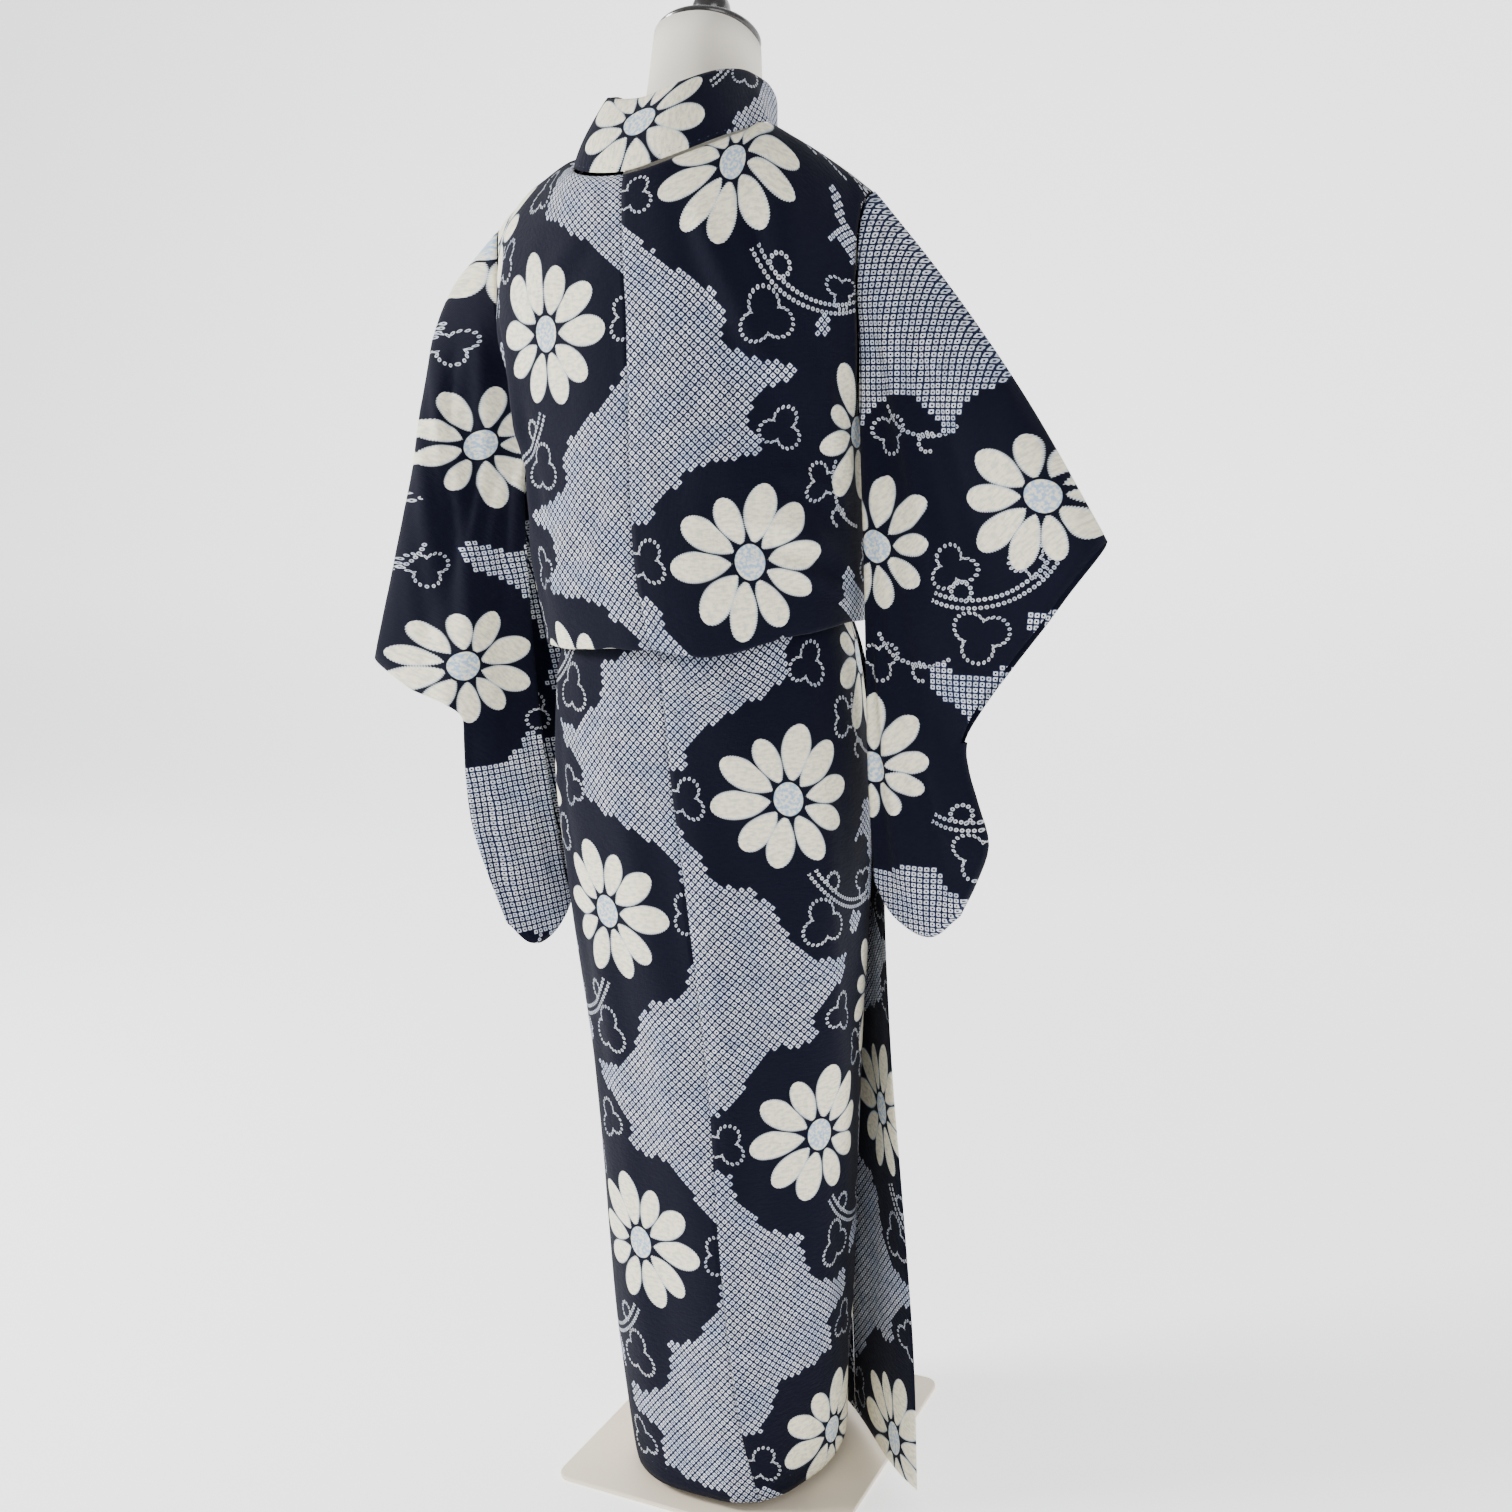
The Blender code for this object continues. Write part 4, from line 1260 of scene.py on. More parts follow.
def group(
    name: str, inputs: Sequence[tuple[str, str]], outputs: Sequence[tuple[str, str]]
) -> tuple[bpy.types.NodeTree, Maths, dict, dict]:
    """Starts a shader node group.

    Args:
        name: The group's name.
        inputs: Socket types and names.
        outputs: Socket types and names.

    Returns:
        The tree, its math builder, its input sockets and its output sockets.
    """
    tree = bpy.data.node_groups.new(name, "ShaderNodeTree")
    for kind, title in inputs:
        tree.interface.new_socket(title, in_out="INPUT", socket_type=kind)
    for kind, title in outputs:
        tree.interface.new_socket(title, in_out="OUTPUT", socket_type=kind)
    begin = tree.nodes.new("NodeGroupInput")
    end = tree.nodes.new("NodeGroupOutput")
    return tree, Maths(tree), {s.name: s for s in begin.outputs}, {s.name: s for s in end.inputs}


# The print's cells, colours and repeat.
CELL = 0.0052
NAVY = (0.0020, 0.0028, 0.0110, 1)
FIELD_NAVY = (0.008, 0.013, 0.042, 1)
CREAM = (0.93, 0.87, 0.66, 1)
# Cream darkened for painted shade in the crepe's pucker troughs.
PUCKER_SHADE_CREAM = (0.70, 0.67, 0.53, 1)
SKY = (0.36, 0.50, 0.68, 1)
DOT_WHITE = (0.84, 0.86, 0.92, 1)
DOT_BLUE = (0.42, 0.54, 0.76, 1)


@dataclass(frozen=True)
class Flower:
    """A printed flower in the repeat.

    Attributes:
        across: Its place across the bolt.
        along: Its place along the repeat.
        radius: Half its width.
        petals: How many petals it has.
        turn: Its turn in radians.
    """

    across: float
    along: float
    radius: float
    petals: int
    turn: float


@dataclass(frozen=True)
class Layout:
    """A stretch of the bolt: its flowers, and how far apart they come again.

    Attributes:
        flowers: The flowers of one repeat.
        across: The repeat across the bolt.
        along: The repeat along the bolt.
    """

    flowers: tuple[Flower, ...]
    across: float
    along: float


BODY_LAYOUT = Layout((Flower(0.104, -0.0605, 0.070, 10, 0.25), Flower(0.229, 0.0505, 0.066, 9, 1.1)), 0.36, 0.328)
LEFT_LAYOUT = Layout(
    (
        Flower(-0.100, -0.1845, 0.068, 9, 0.6),
        Flower(0.000, -0.0226, 0.066, 10, 0.1),
        Flower(-0.203, -0.376, 0.066, 10, 1.3),
    ),
    0.50,
    0.62,
)
RIGHT_LAYOUT = Layout(
    (
        Flower(-0.0534, -0.3036, 0.068, 10, 0.4),
        Flower(-0.187, -0.238, 0.068, 9, 1.0),
        Flower(-0.322, -0.381, 0.066, 10, 0.2),
    ),
    0.50,
    0.62,
)
# Discs that join into the navy cloud round a flower, from the flower's middle.
CLOUD = table(
    "x y radius",
    (0.000, 0.000, 0.096),
    (0.066, 0.048, 0.046),
    (0.022, -0.112, 0.044),
    (0.076, -0.086, 0.036),
    (-0.090, 0.006, 0.030),
)
# Chains of small dots, from the flower's middle. Each is an arc about a point. Lobes shape it into a leaf.
CHAINS = table(
    "x y radius lobes turn middle half",
    (0.020, -0.120, 0.0185, 0.30, 0.4, 0.00, 3.20),
    (0.034, -0.082, 0.0085, 0.00, 0.0, 0.60, 2.60),
    (0.085, -0.035, 0.0760, 0.00, 0.0, -1.95, 0.75),
    (0.085, -0.035, 0.0830, 0.00, 0.0, -1.95, 0.75),
    (0.092, -0.098, 0.0130, 0.32, 1.6, 0.00, 3.20),
    (-0.092, 0.004, 0.0150, 0.34, 0.9, 0.00, 3.20),
    (0.072, 0.066, 0.0140, 0.32, 2.2, 0.00, 3.20),
    (0.094, 0.034, 0.0080, 0.00, 0.0, 2.20, 2.40),
    (0.130, 0.070, 0.0460, 0.00, 0.0, -2.60, 0.90),
)
DOT_STEP = 0.0046


class Print:
    """The resist print as groups of shader nodes."""

    def __init__(self) -> None:
        self.flower_tree = self.flower()
        self.cloud_tree = self.cloud()
        self.chain_tree = self.chains()

    @staticmethod
    def flower() -> bpy.types.NodeTree:
        """A flower's petals and rims, from a flat vector about its middle."""
        inputs = (
            ("NodeSocketVector", "Place"),
            ("NodeSocketFloat", "Radius"),
            ("NodeSocketFloat", "Petals"),
            ("NodeSocketFloat", "Turn"),
        )
        outputs = (("NodeSocketFloat", "Petal"), ("NodeSocketFloat", "Rim"), ("NodeSocketFloat", "Middle"))
        tree, m, get, put = group("Printed flower", inputs, outputs)
        x, y = m.split(get["Place"])
        distance = m.length(x, y)
        angle = m.do("ADD", m.do("ARCTAN2", y, x), m.do("ADD", get["Turn"], 2 * np.pi))
        turned = m.do("DIVIDE", m.do("MULTIPLY", angle, get["Petals"]), 2 * np.pi)
        index = m.do("FLOORED_MODULO", m.do("FLOOR", turned), get["Petals"])
        chance = m.add("ShaderNodeTexWhiteNoise", noise_dimensions="2D")
        m.join(m.pair(index, get["Turn"]), chance.inputs["Vector"])
        odd_reach = chance.outputs["Value"]
        odd_width, odd_side = m.split(chance.outputs["Color"])
        aside = m.do("SUBTRACT", m.do("FRACT", turned), m.do("ADD", 0.43, m.do("MULTIPLY", odd_side, 0.14)))
        lateral = m.do("DIVIDE", m.do("MULTIPLY", aside, 2 * np.pi), get["Petals"])
        lateral = m.do("ABSOLUTE", m.do("MULTIPLY", distance, m.do("SINE", lateral)))
        reach = m.do("MULTIPLY", get["Radius"], m.do("ADD", 0.72, m.do("MULTIPLY", odd_reach, 0.32)))
        base = m.do("MULTIPLY", get["Radius"], 0.225)
        t = m.do("DIVIDE", m.do("SUBTRACT", distance, base), m.do("SUBTRACT", reach, base), clamp=True)
        t = m.do("POWER", t, 1.5)
        swell = m.do("SQRT", m.do("MULTIPLY", m.do("MULTIPLY", t, m.do("SUBTRACT", 1.0, t)), 4.0))
        width = m.do("MULTIPLY", m.do("MULTIPLY", get["Radius"], 0.170), swell)
        width = m.do("MULTIPLY", width, m.do("ADD", 0.80, m.do("MULTIPLY", odd_width, 0.40)))
        scallop = m.do("MULTIPLY", m.do("SINE", m.do("MULTIPLY", distance, 3400.0)), 0.0005)
        inside = m.do("ADD", m.do("SUBTRACT", width, lateral), scallop)
        core = m.length(x, m.do("MULTIPLY", y, 0.84))
        centre = m.do("SUBTRACT", m.do("MULTIPLY", get["Radius"], 0.185), core)
        clear = m.do("SUBTRACT", 1.0, m.step(centre, -0.0026, -0.0018))
        clear = m.do("MULTIPLY", clear, m.do("LESS_THAN", distance, reach))
        petal = m.do("MULTIPLY", m.step(inside, 0.0, 0.0008), clear)
        m.join(petal, put["Petal"])
        m.join(m.do("MULTIPLY", petal, m.do("SUBTRACT", 1.0, m.step(inside, 0.0006, 0.0024))), put["Rim"])
        m.join(m.step(centre, -0.0004, 0.0004), put["Middle"])
        return tree

    @staticmethod
    def cloud() -> bpy.types.NodeTree:
        """How far inside the navy cloud a place is."""
        outputs = (("NodeSocketFloat", "Cloud"),)
        tree, m, get, put = group("Cloud", (("NodeSocketVector", "Place"),), outputs)
        x, y = m.split(get["Place"])
        cloud = None
        for cx, cy, radius in zip(*CLOUD.values()):
            away = m.length(m.do("SUBTRACT", x, float(cx)), m.do("SUBTRACT", y, float(cy)))
            inside = m.do("SUBTRACT", float(radius), away)
            cloud = inside if cloud is None else m.do("SMOOTH_MAX", cloud, inside, 0.014)
        m.join(cloud, put["Cloud"])
        return tree

    @staticmethod
    def chains() -> bpy.types.NodeTree:
        """The distance to the nearest dot of a vine, in steps from dot to dot."""
        outputs = (("NodeSocketFloat", "Dot"),)
        tree, m, get, put = group("Dotted vines", (("NodeSocketVector", "Place"),), outputs)
        x, y = m.split(get["Place"])
        nearest = None
        for cx, cy, radius, lobes, turn, middle, half in zip(*(column.tolist() for column in CHAINS.values())):
            dx = m.do("SUBTRACT", x, cx)
            dy = m.do("SUBTRACT", y, cy)
            angle = m.do("ARCTAN2", dy, dx)
            reach = m.length(dx, dy)
            shape = radius
            if lobes:
                wave = m.do("ABSOLUTE", m.do("COSINE", m.do("MULTIPLY", m.do("ADD", angle, turn), 1.5)))
                wave = m.do("MULTIPLY", wave, 2 * lobes * radius)
                shape = m.do("ADD", wave, (1 - lobes) * radius)
            count = round(2 * np.pi * radius * (1 + lobes) / DOT_STEP)
            along = m.do("SUBTRACT", m.do("FRACT", m.do("MULTIPLY", angle, count / (2 * np.pi))), 0.5)
            along = m.do("MULTIPLY", along, m.do("DIVIDE", reach, radius))
            aside = m.do("DIVIDE", m.do("SUBTRACT", reach, shape), DOT_STEP)
            dot = m.length(along, aside)
            if half < np.pi:
                past = m.do("ABSOLUTE", m.wrapped(m.do("SUBTRACT", angle, middle), 2 * np.pi))
                dot = m.do("ADD", dot, m.do("MULTIPLY", m.do("GREATER_THAN", past, half), 9.0))
            nearest = dot if nearest is None else m.do("MINIMUM", nearest, dot)
        m.join(nearest, put["Dot"])
        return tree

    def whole(self, name: str, layout: Layout) -> bpy.types.NodeTree:
        """The whole print of one layout: its colour, and its relief for the crepe's puckers.

        Args:
            name: The group's name.
            layout: Where the flowers lie.

        Returns:
            The group, which takes a place on the bolt.
        """
        outputs = (("NodeSocketColor", "Colour"), ("NodeSocketFloat", "Relief"))
        tree, m, get, put = group(name, (("NodeSocketVector", "Bolt"),), outputs)
        u, v = m.split(get["Bolt"])
        bent = m.do("MULTIPLY", m.do("SUBTRACT", m.noise(get["Bolt"], 24.0, 1.0), 0.5), 0.004)
        u = m.do("ADD", u, bent)
        # Cells stand at half a right angle to the warp.
        across = float(np.sqrt(0.5) / CELL)
        diag = m.do("MULTIPLY", m.do("ADD", u, v), across)
        cross = m.do("MULTIPLY", m.do("SUBTRACT", v, u), across)
        column = m.do("FLOOR", diag)
        row = m.do("FLOOR", cross)
        fx = m.do("ABSOLUTE", m.do("SUBTRACT", m.do("FRACT", diag), 0.5))
        fy = m.do("ABSOLUTE", m.do("SUBTRACT", m.do("FRACT", cross), 0.5))
        middle_d = m.do("MULTIPLY", m.do("ADD", column, 0.5), float(CELL * np.sqrt(0.5)))
        middle_c = m.do("MULTIPLY", m.do("ADD", row, 0.5), float(CELL * np.sqrt(0.5)))
        cell_u = m.do("SUBTRACT", middle_d, middle_c)
        cell_v = m.do("ADD", middle_d, middle_c)
        chance = m.add("ShaderNodeTexWhiteNoise", noise_dimensions="2D")
        m.join(m.pair(column, row), chance.inputs["Vector"])
        odd = chance.outputs["Value"]
        square = m.do("MULTIPLY", m.do("MAXIMUM", fx, fy), 0.72)
        square = m.do("ADD", square, m.do("MULTIPLY", m.length(fx, fy), 0.28))
        rough = m.do("MULTIPLY", m.do("SUBTRACT", m.noise(get["Bolt"], 800.0, 1.0), 0.5), 0.18)
        square = m.do("ADD", square, rough)
        ring = m.do("MULTIPLY", m.step(square, 0.12, 0.20), m.do("SUBTRACT", 1.0, m.step(square, 0.33, 0.40)))
        petal = rim = centre = cloud = dot = None
        for place in layout.flowers:
            local = []
            for wide, long in ((u, v), (cell_u, cell_v)):
                x = m.wrapped(m.do("SUBTRACT", wide, place.across), layout.across)
                y = m.wrapped(m.do("SUBTRACT", long, place.along), layout.along)
                local.append(m.pair(x, y))
            node = m.add("ShaderNodeGroup", node_tree=self.flower_tree)
            for value, socket in zip((local[0], place.radius, float(place.petals), place.turn), node.inputs):
                m.join(value, socket)
            mass = m.add("ShaderNodeGroup", node_tree=self.cloud_tree)
            m.join(local[1], mass.inputs[0])
            vine = m.add("ShaderNodeGroup", node_tree=self.chain_tree)
            m.join(local[0], vine.inputs[0])
            found = tuple(node.outputs) + (mass.outputs[0], vine.outputs[0])
            if petal is None:
                petal, rim, centre, cloud, dot = found
            else:
                petal, rim, centre = (m.do("MAXIMUM", a, b) for a, b in zip((petal, rim, centre), found))
                cloud = m.do("SMOOTH_MAX", cloud, found[3], 0.02)
                dot = m.do("MINIMUM", dot, found[4])
        uneven = m.do("SUBTRACT", m.noise(m.pair(cell_u, cell_v), 26.0, 1.0), 0.5)
        edge = m.do("ADD", cloud, m.do("MULTIPLY", uneven, 0.034))
        field = m.do("LESS_THAN", edge, 0.0)
        beads = m.do("MULTIPLY", m.step(dot, 0.10, 0.20), m.do("SUBTRACT", 1.0, m.step(dot, 0.34, 0.42)))
        beads = m.do("MULTIPLY", beads, m.do("SUBTRACT", 1.0, field))
        away = m.do("SUBTRACT", 1.0, m.do("MAXIMUM", petal, centre))
        white = m.do("MAXIMUM", m.do("MULTIPLY", ring, field), m.do("MULTIPLY", beads, 0.80))
        white = m.do("MULTIPLY", m.do("MULTIPLY", white, m.do("ADD", 0.66, m.do("MULTIPLY", odd, 0.34))), away)
        blotch = m.step(m.noise(get["Bolt"], 30.0, 3.0), 0.34, 0.74)
        tint = m.mix(m.do("MULTIPLY", blotch, 0.60), DOT_WHITE, DOT_BLUE)
        ground = m.mix(m.do("MULTIPLY", field, 0.85), NAVY, FIELD_NAVY)
        colour = m.mix(white, ground, tint)
        pucker = m.noise(m.pair(u, m.do("MULTIPLY", v, 2.2)), 150.0, 2.0)
        # Petals darken where the pucker relief dips: painted shade that follows the crepe's bump.
        cream = m.mix(m.step(pucker, 0.34, 0.60), PUCKER_SHADE_CREAM, CREAM)
        colour = m.mix(petal, colour, m.mix(m.do("MULTIPLY", rim, 0.70), cream, SKY))
        speck = m.step(m.noise(get["Bolt"], 320.0, 1.0), 0.42, 0.58)
        colour = m.mix(centre, colour, m.mix(m.do("MULTIPLY", speck, 0.75), SKY, CREAM))
        m.join(colour, put["Colour"])
        m.join(pucker, put["Relief"])
        return tree


def plain_weave() -> bpy.types.NodeTree:
    """Slubby warp and weft threads: their relief, and how dark the gaps are."""
    outputs = (("NodeSocketFloat", "Relief"), ("NodeSocketFloat", "Shade"))
    tree, m, get, put = group("Plain weave", (("NodeSocketVector", "Bolt"),), outputs)
    u, v = m.split(get["Bolt"])
    warp = m.do("SINE", m.do("MULTIPLY", u, 2 * np.pi / 0.0011))
    weft = m.do("SINE", m.do("MULTIPLY", v, 2 * np.pi / 0.0009))
    slub = m.noise(m.pair(m.do("MULTIPLY", u, 14.0), v), 60.0, 2.0)
    threads = m.do("ADD", m.do("MULTIPLY", warp, 0.6), m.do("MULTIPLY", weft, 0.4))
    m.join(m.do("ADD", m.do("MULTIPLY", threads, 0.35), slub), put["Relief"])
    m.join(m.do("ADD", 0.88, m.do("MULTIPLY", slub, 0.22)), put["Shade"])
    return tree


class Finish(Enum):
    """The finishes of the scene's pieces."""

    COTTON = "printed_cotton"
    COTTON_LEFT = "printed_cotton_left_sleeve"
    COTTON_RIGHT = "printed_cotton_right_sleeve"
    JERSEY = "ivory_jersey"
    LACQUER = "black_lacquer"
    ENAMEL = "ivory_enamel"
    THREAD = "navy_thread"
    PAPER = "studio_paper"


class Finishes:
    """Makes each material once."""

    def __init__(self) -> None:
        self.made: dict[Finish, bpy.types.Material] = {}
        self.print = Print()
        self.layouts = {
            Finish.COTTON: BODY_LAYOUT,
            Finish.COTTON_LEFT: LEFT_LAYOUT,
            Finish.COTTON_RIGHT: RIGHT_LAYOUT,
        }
        self.makers = {
            Finish.JERSEY: self.jersey,
            Finish.LACQUER: self.lacquer,
            Finish.ENAMEL: self.enamel,
            Finish.THREAD: self.thread,
            Finish.PAPER: self.paper,
        }

    def get(self, finish: Finish) -> bpy.types.Material:
        """The material of a finish.

        Args:
            finish: Which finish.

        Returns:
            The material, made on first use.
        """
        if finish not in self.made:
            made = bpy.data.materials.new(finish.value)
            made.use_nodes = True
            m, shader = Maths(made.node_tree), made.node_tree.nodes["Principled BSDF"]
            if finish in self.layouts:
                self.cotton(m, shader, self.print.whole(f"Resist print {finish.name}", self.layouts[finish]))
            else:
                self.makers[finish](m, shader)
            self.made[finish] = made
        return self.made[finish]

    @staticmethod
    def bump(m: Maths, shader: bpy.types.Node, relief: object, depth: float, strength: float = 1.0) -> None:
        """Gives a shader a bump from a relief value, depth metres high.

        Args:
            m: Writes the material's nodes.
            shader: The material's main shader.
            relief: The relief.
            depth: Its height in metres.
            strength: How strongly it shades.
        """
        node = m.add("ShaderNodeBump")
        m.join(relief, node.inputs["Height"])
        node.inputs["Distance"].default_value = depth
        node.inputs["Strength"].default_value = strength
        m.join(node.outputs[0], shader.inputs["Normal"])

    def cotton(self, m: Maths, shader: bpy.types.Node, pattern: bpy.types.NodeTree) -> None:
        """Printed cotton crepe.

        Args:
            m: Writes the material's nodes.
            shader: The material's main shader.
            pattern: The print's node group.
        """
        place = m.add("ShaderNodeUVMap", uv_map="bolt").outputs[0]
        printed = m.add("ShaderNodeGroup", node_tree=pattern)
        woven = m.add("ShaderNodeGroup", node_tree=plain_weave())
        m.join(place, printed.inputs[0])
        m.join(place, woven.inputs[0])
        dark = m.add("ShaderNodeMix", data_type="RGBA", blend_type="MULTIPLY")
        dark.inputs[0].default_value = 1.0
        m.join(printed.outputs["Colour"], dark.inputs[6])
        m.join(m.pair(woven.outputs["Shade"], woven.outputs["Shade"], woven.outputs["Shade"]), dark.inputs[7])
        m.join(dark.outputs[2], shader.inputs["Base Color"])
        shader.inputs["Roughness"].default_value = 0.88
        shader.inputs["Specular IOR Level"].default_value = 0.12
        shader.inputs["Sheen Weight"].default_value = 0.03
        shader.inputs["Sheen Roughness"].default_value = 0.5
        relief = m.do("ADD", m.do("MULTIPLY", woven.outputs["Relief"], 0.25), printed.outputs["Relief"])
        self.bump(m, shader, relief, 0.0009, 0.8)

    def jersey(self, m: Maths, shader: bpy.types.Node) -> None:
        """Fine knitted cover of the form.

        Args:
            m: Writes the material's nodes.
            shader: The material's main shader.
        """
        place = m.add("ShaderNodeTexCoord").outputs["Object"]
        x, z = m.split(place)
        knit = m.add("ShaderNodeTexWave", wave_type="BANDS", bands_direction="Z")
        m.join(place, knit.inputs["Vector"])
        knit.inputs["Scale"].default_value = 380.0
        knit.inputs["Distortion"].default_value = 1.2
        tone = m.noise(place, 9.0, 3.0)
        m.join(m.mix(tone, (0.80, 0.74, 0.62, 1), (0.88, 0.83, 0.73, 1)), shader.inputs["Base Color"])
        shader.inputs["Roughness"].default_value = 0.9
        shader.inputs["Sheen Weight"].default_value = 0.2
        fuzz = m.noise(place, 900.0, 2.0)
        self.bump(m, shader, m.do("ADD", knit.outputs["Fac"], fuzz), 0.0003, 0.5)

    def lacquer(self, m: Maths, shader: bpy.types.Node) -> None:
        """Black lacquered wood with faint wear.

        Args:
            m: Writes the material's nodes.
            shader: The material's main shader.
        """
        place = m.add("ShaderNodeTexCoord").outputs["Object"]
        grain = m.noise(place, 160.0, 4.0)
        m.join(m.mix(grain, (0.008, 0.007, 0.007, 1), (0.030, 0.026, 0.024, 1)), shader.inputs["Base Color"])
        m.join(m.do("ADD", 0.16, m.do("MULTIPLY", grain, 0.22)), shader.inputs["Roughness"])
        shader.inputs["Coat Weight"].default_value = 0.5
        self.bump(m, shader, grain, 0.0001, 0.4)

    def enamel(self, m: Maths, shader: bpy.types.Node) -> None:
        """Ivory powder coat on steel.

        Args:
            m: Writes the material's nodes.
            shader: The material's main shader.
        """
        place = m.add("ShaderNodeTexCoord").outputs["Object"]
        tone = m.noise(place, 14.0, 4.0)
        m.join(m.mix(tone, (0.82, 0.70, 0.53, 1), (0.88, 0.78, 0.62, 1)), shader.inputs["Base Color"])
        m.join(m.do("ADD", 0.34, m.do("MULTIPLY", tone, 0.2)), shader.inputs["Roughness"])
        self.bump(m, shader, m.noise(place, 1400.0, 1.0), 0.00012, 0.5)

    def thread(self, m: Maths, shader: bpy.types.Node) -> None:
        """Cotton sewing thread.

        Args:
            m: Writes the material's nodes.
            shader: The material's main shader.
        """
        place = m.add("ShaderNodeTexCoord").outputs["Object"]
        tone = m.noise(place, 800.0, 2.0)
        m.join(m.mix(tone, (0.020, 0.028, 0.075, 1), (0.055, 0.070, 0.150, 1)), shader.inputs["Base Color"])
        shader.inputs["Roughness"].default_value = 0.8

    def paper(self, m: Maths, shader: bpy.types.Node) -> None:
        """The pale floor, which glows a little as a lit backdrop does.

        Args:
            m: Writes the material's nodes.
            shader: The material's main shader.
        """
        shader.inputs["Emission Color"].default_value = (1.0, 1.0, 1.0, 1.0)
        shader.inputs["Emission Strength"].default_value = BACKDROP_GLOW
        place = m.add("ShaderNodeTexCoord").outputs["Object"]
        tone = m.noise(place, 2.0, 2.0)
        m.join(m.mix(tone, (0.90, 0.90, 0.90, 1), (0.92, 0.92, 0.92, 1)), shader.inputs["Base Color"])
        shader.inputs["Roughness"].default_value = 0.9


def stitch_tree() -> bpy.types.NodeTree:
    """Geometry nodes that lay one small stitch at even steps along an edge."""
    tree = bpy.data.node_groups.new("Running stitch", "GeometryNodeTree")
    tree.interface.new_socket("Geometry", in_out="INPUT", socket_type="NodeSocketGeometry")
    for title in ("Step", "Length", "Thread"):
        tree.interface.new_socket(title, in_out="INPUT", socket_type="NodeSocketFloat")
    tree.interface.new_socket("Finish", in_out="INPUT", socket_type="NodeSocketMaterial")
    tree.interface.new_socket("Geometry", in_out="OUTPUT", socket_type="NodeSocketGeometry")
    node = tree.nodes.new
    link = tree.links.new
    begin = node("NodeGroupInput")
    end = node("NodeGroupOutput")
    curve = node("GeometryNodeMeshToCurve")
    spaced = node("GeometryNodeResampleCurve")
    spaced.mode = "LENGTH"
    along = node("GeometryNodeInputTangent")
    turned = node("FunctionNodeAlignEulerToVector")
    turned.axis = "Z"
    stitch = node("GeometryNodeMeshCylinder")
    stitch.inputs["Vertices"].default_value = 6
    placed = node("GeometryNodeInstanceOnPoints")
    real = node("GeometryNodeRealizeInstances")
    coloured = node("GeometryNodeSetMaterial")
    link(begin.outputs["Geometry"], curve.inputs["Mesh"])
    link(curve.outputs[0], spaced.inputs["Curve"])
    link(begin.outputs["Step"], spaced.inputs["Length"])
    link(begin.outputs["Length"], stitch.inputs["Depth"])
    link(begin.outputs["Thread"], stitch.inputs["Radius"])
    link(along.outputs[0], turned.inputs["Vector"])
    link(spaced.outputs[0], placed.inputs["Points"])
    link(stitch.outputs["Mesh"], placed.inputs["Instance"])
    link(turned.outputs[0], placed.inputs["Rotation"])
    link(placed.outputs[0], real.inputs[0])
    link(real.outputs[0], coloured.inputs["Geometry"])
    link(begin.outputs["Finish"], coloured.inputs["Material"])
    link(coloured.outputs[0], end.inputs["Geometry"])
    return tree


class Seamstress:
    """Sews rows of stitches along lines of points."""

    def __init__(self, finishes: Finishes) -> None:
        self.tree = stitch_tree()
        self.finishes = finishes

    def sew(
        self, name: str, lines: Sequence[Array], step: float, length: float, thread: float
    ) -> bpy.types.Object:
        """Adds one piece with all the stitches of a seam.

        Args:
            name: The piece's name.
            lines: Lines of points that the stitches follow.
            step: From one stitch to the next.
            length: A stitch's length.
            thread: The thread's radius.

        Returns:
            The new piece, a plain mesh.
        """
        points = np.concatenate(lines)
        edges = []
        first = 0
        for line in lines:
            edges += [(first + i, first + i + 1) for i in range(len(line) - 1)]
            first += len(line)
        mesh = bpy.data.meshes.new(name)
        mesh.from_pydata((points + SHIFT).tolist(), edges, [])
        guide = bpy.data.objects.new(name + "_guide", mesh)
        bpy.context.scene.collection.objects.link(guide)
        modifier = guide.modifiers.new("stitches", "NODES")
        modifier.node_group = self.tree
        values = {"Step": step, "Length": length, "Thread": thread, "Finish": self.finishes.get(Finish.THREAD)}
        for item in self.tree.interface.items_tree:
            if item.in_out == "INPUT" and item.name in values:
                modifier[item.identifier] = values[item.name]
        graph = bpy.context.evaluated_depsgraph_get()
        made = bpy.data.meshes.new_from_object(guide.evaluated_get(graph))
        bpy.data.objects.remove(guide, do_unlink=True)
        piece = bpy.data.objects.new(name, made)
        bpy.context.scene.collection.objects.link(piece)
        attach(piece, "root")
        return piece


@dataclass(frozen=True)
class PanelLook:
    """How one cloth panel is finished.

    Attributes:
        bolt: Where the panel's first corner lies on the bolt, across and along.
        seed: Picks its set of small waves.
        waves: The height of those waves.
        creases: Its creases.
        flat: The size that it was cut to, width by length.
        area: Its share of that rectangle where the cut isn't one, in square metres.
    """

    bolt: tuple[float, float]
    seed: int
    waves: float
    creases: tuple[Crease, ...]
    flat: tuple[float, float]
    area: float | None = None


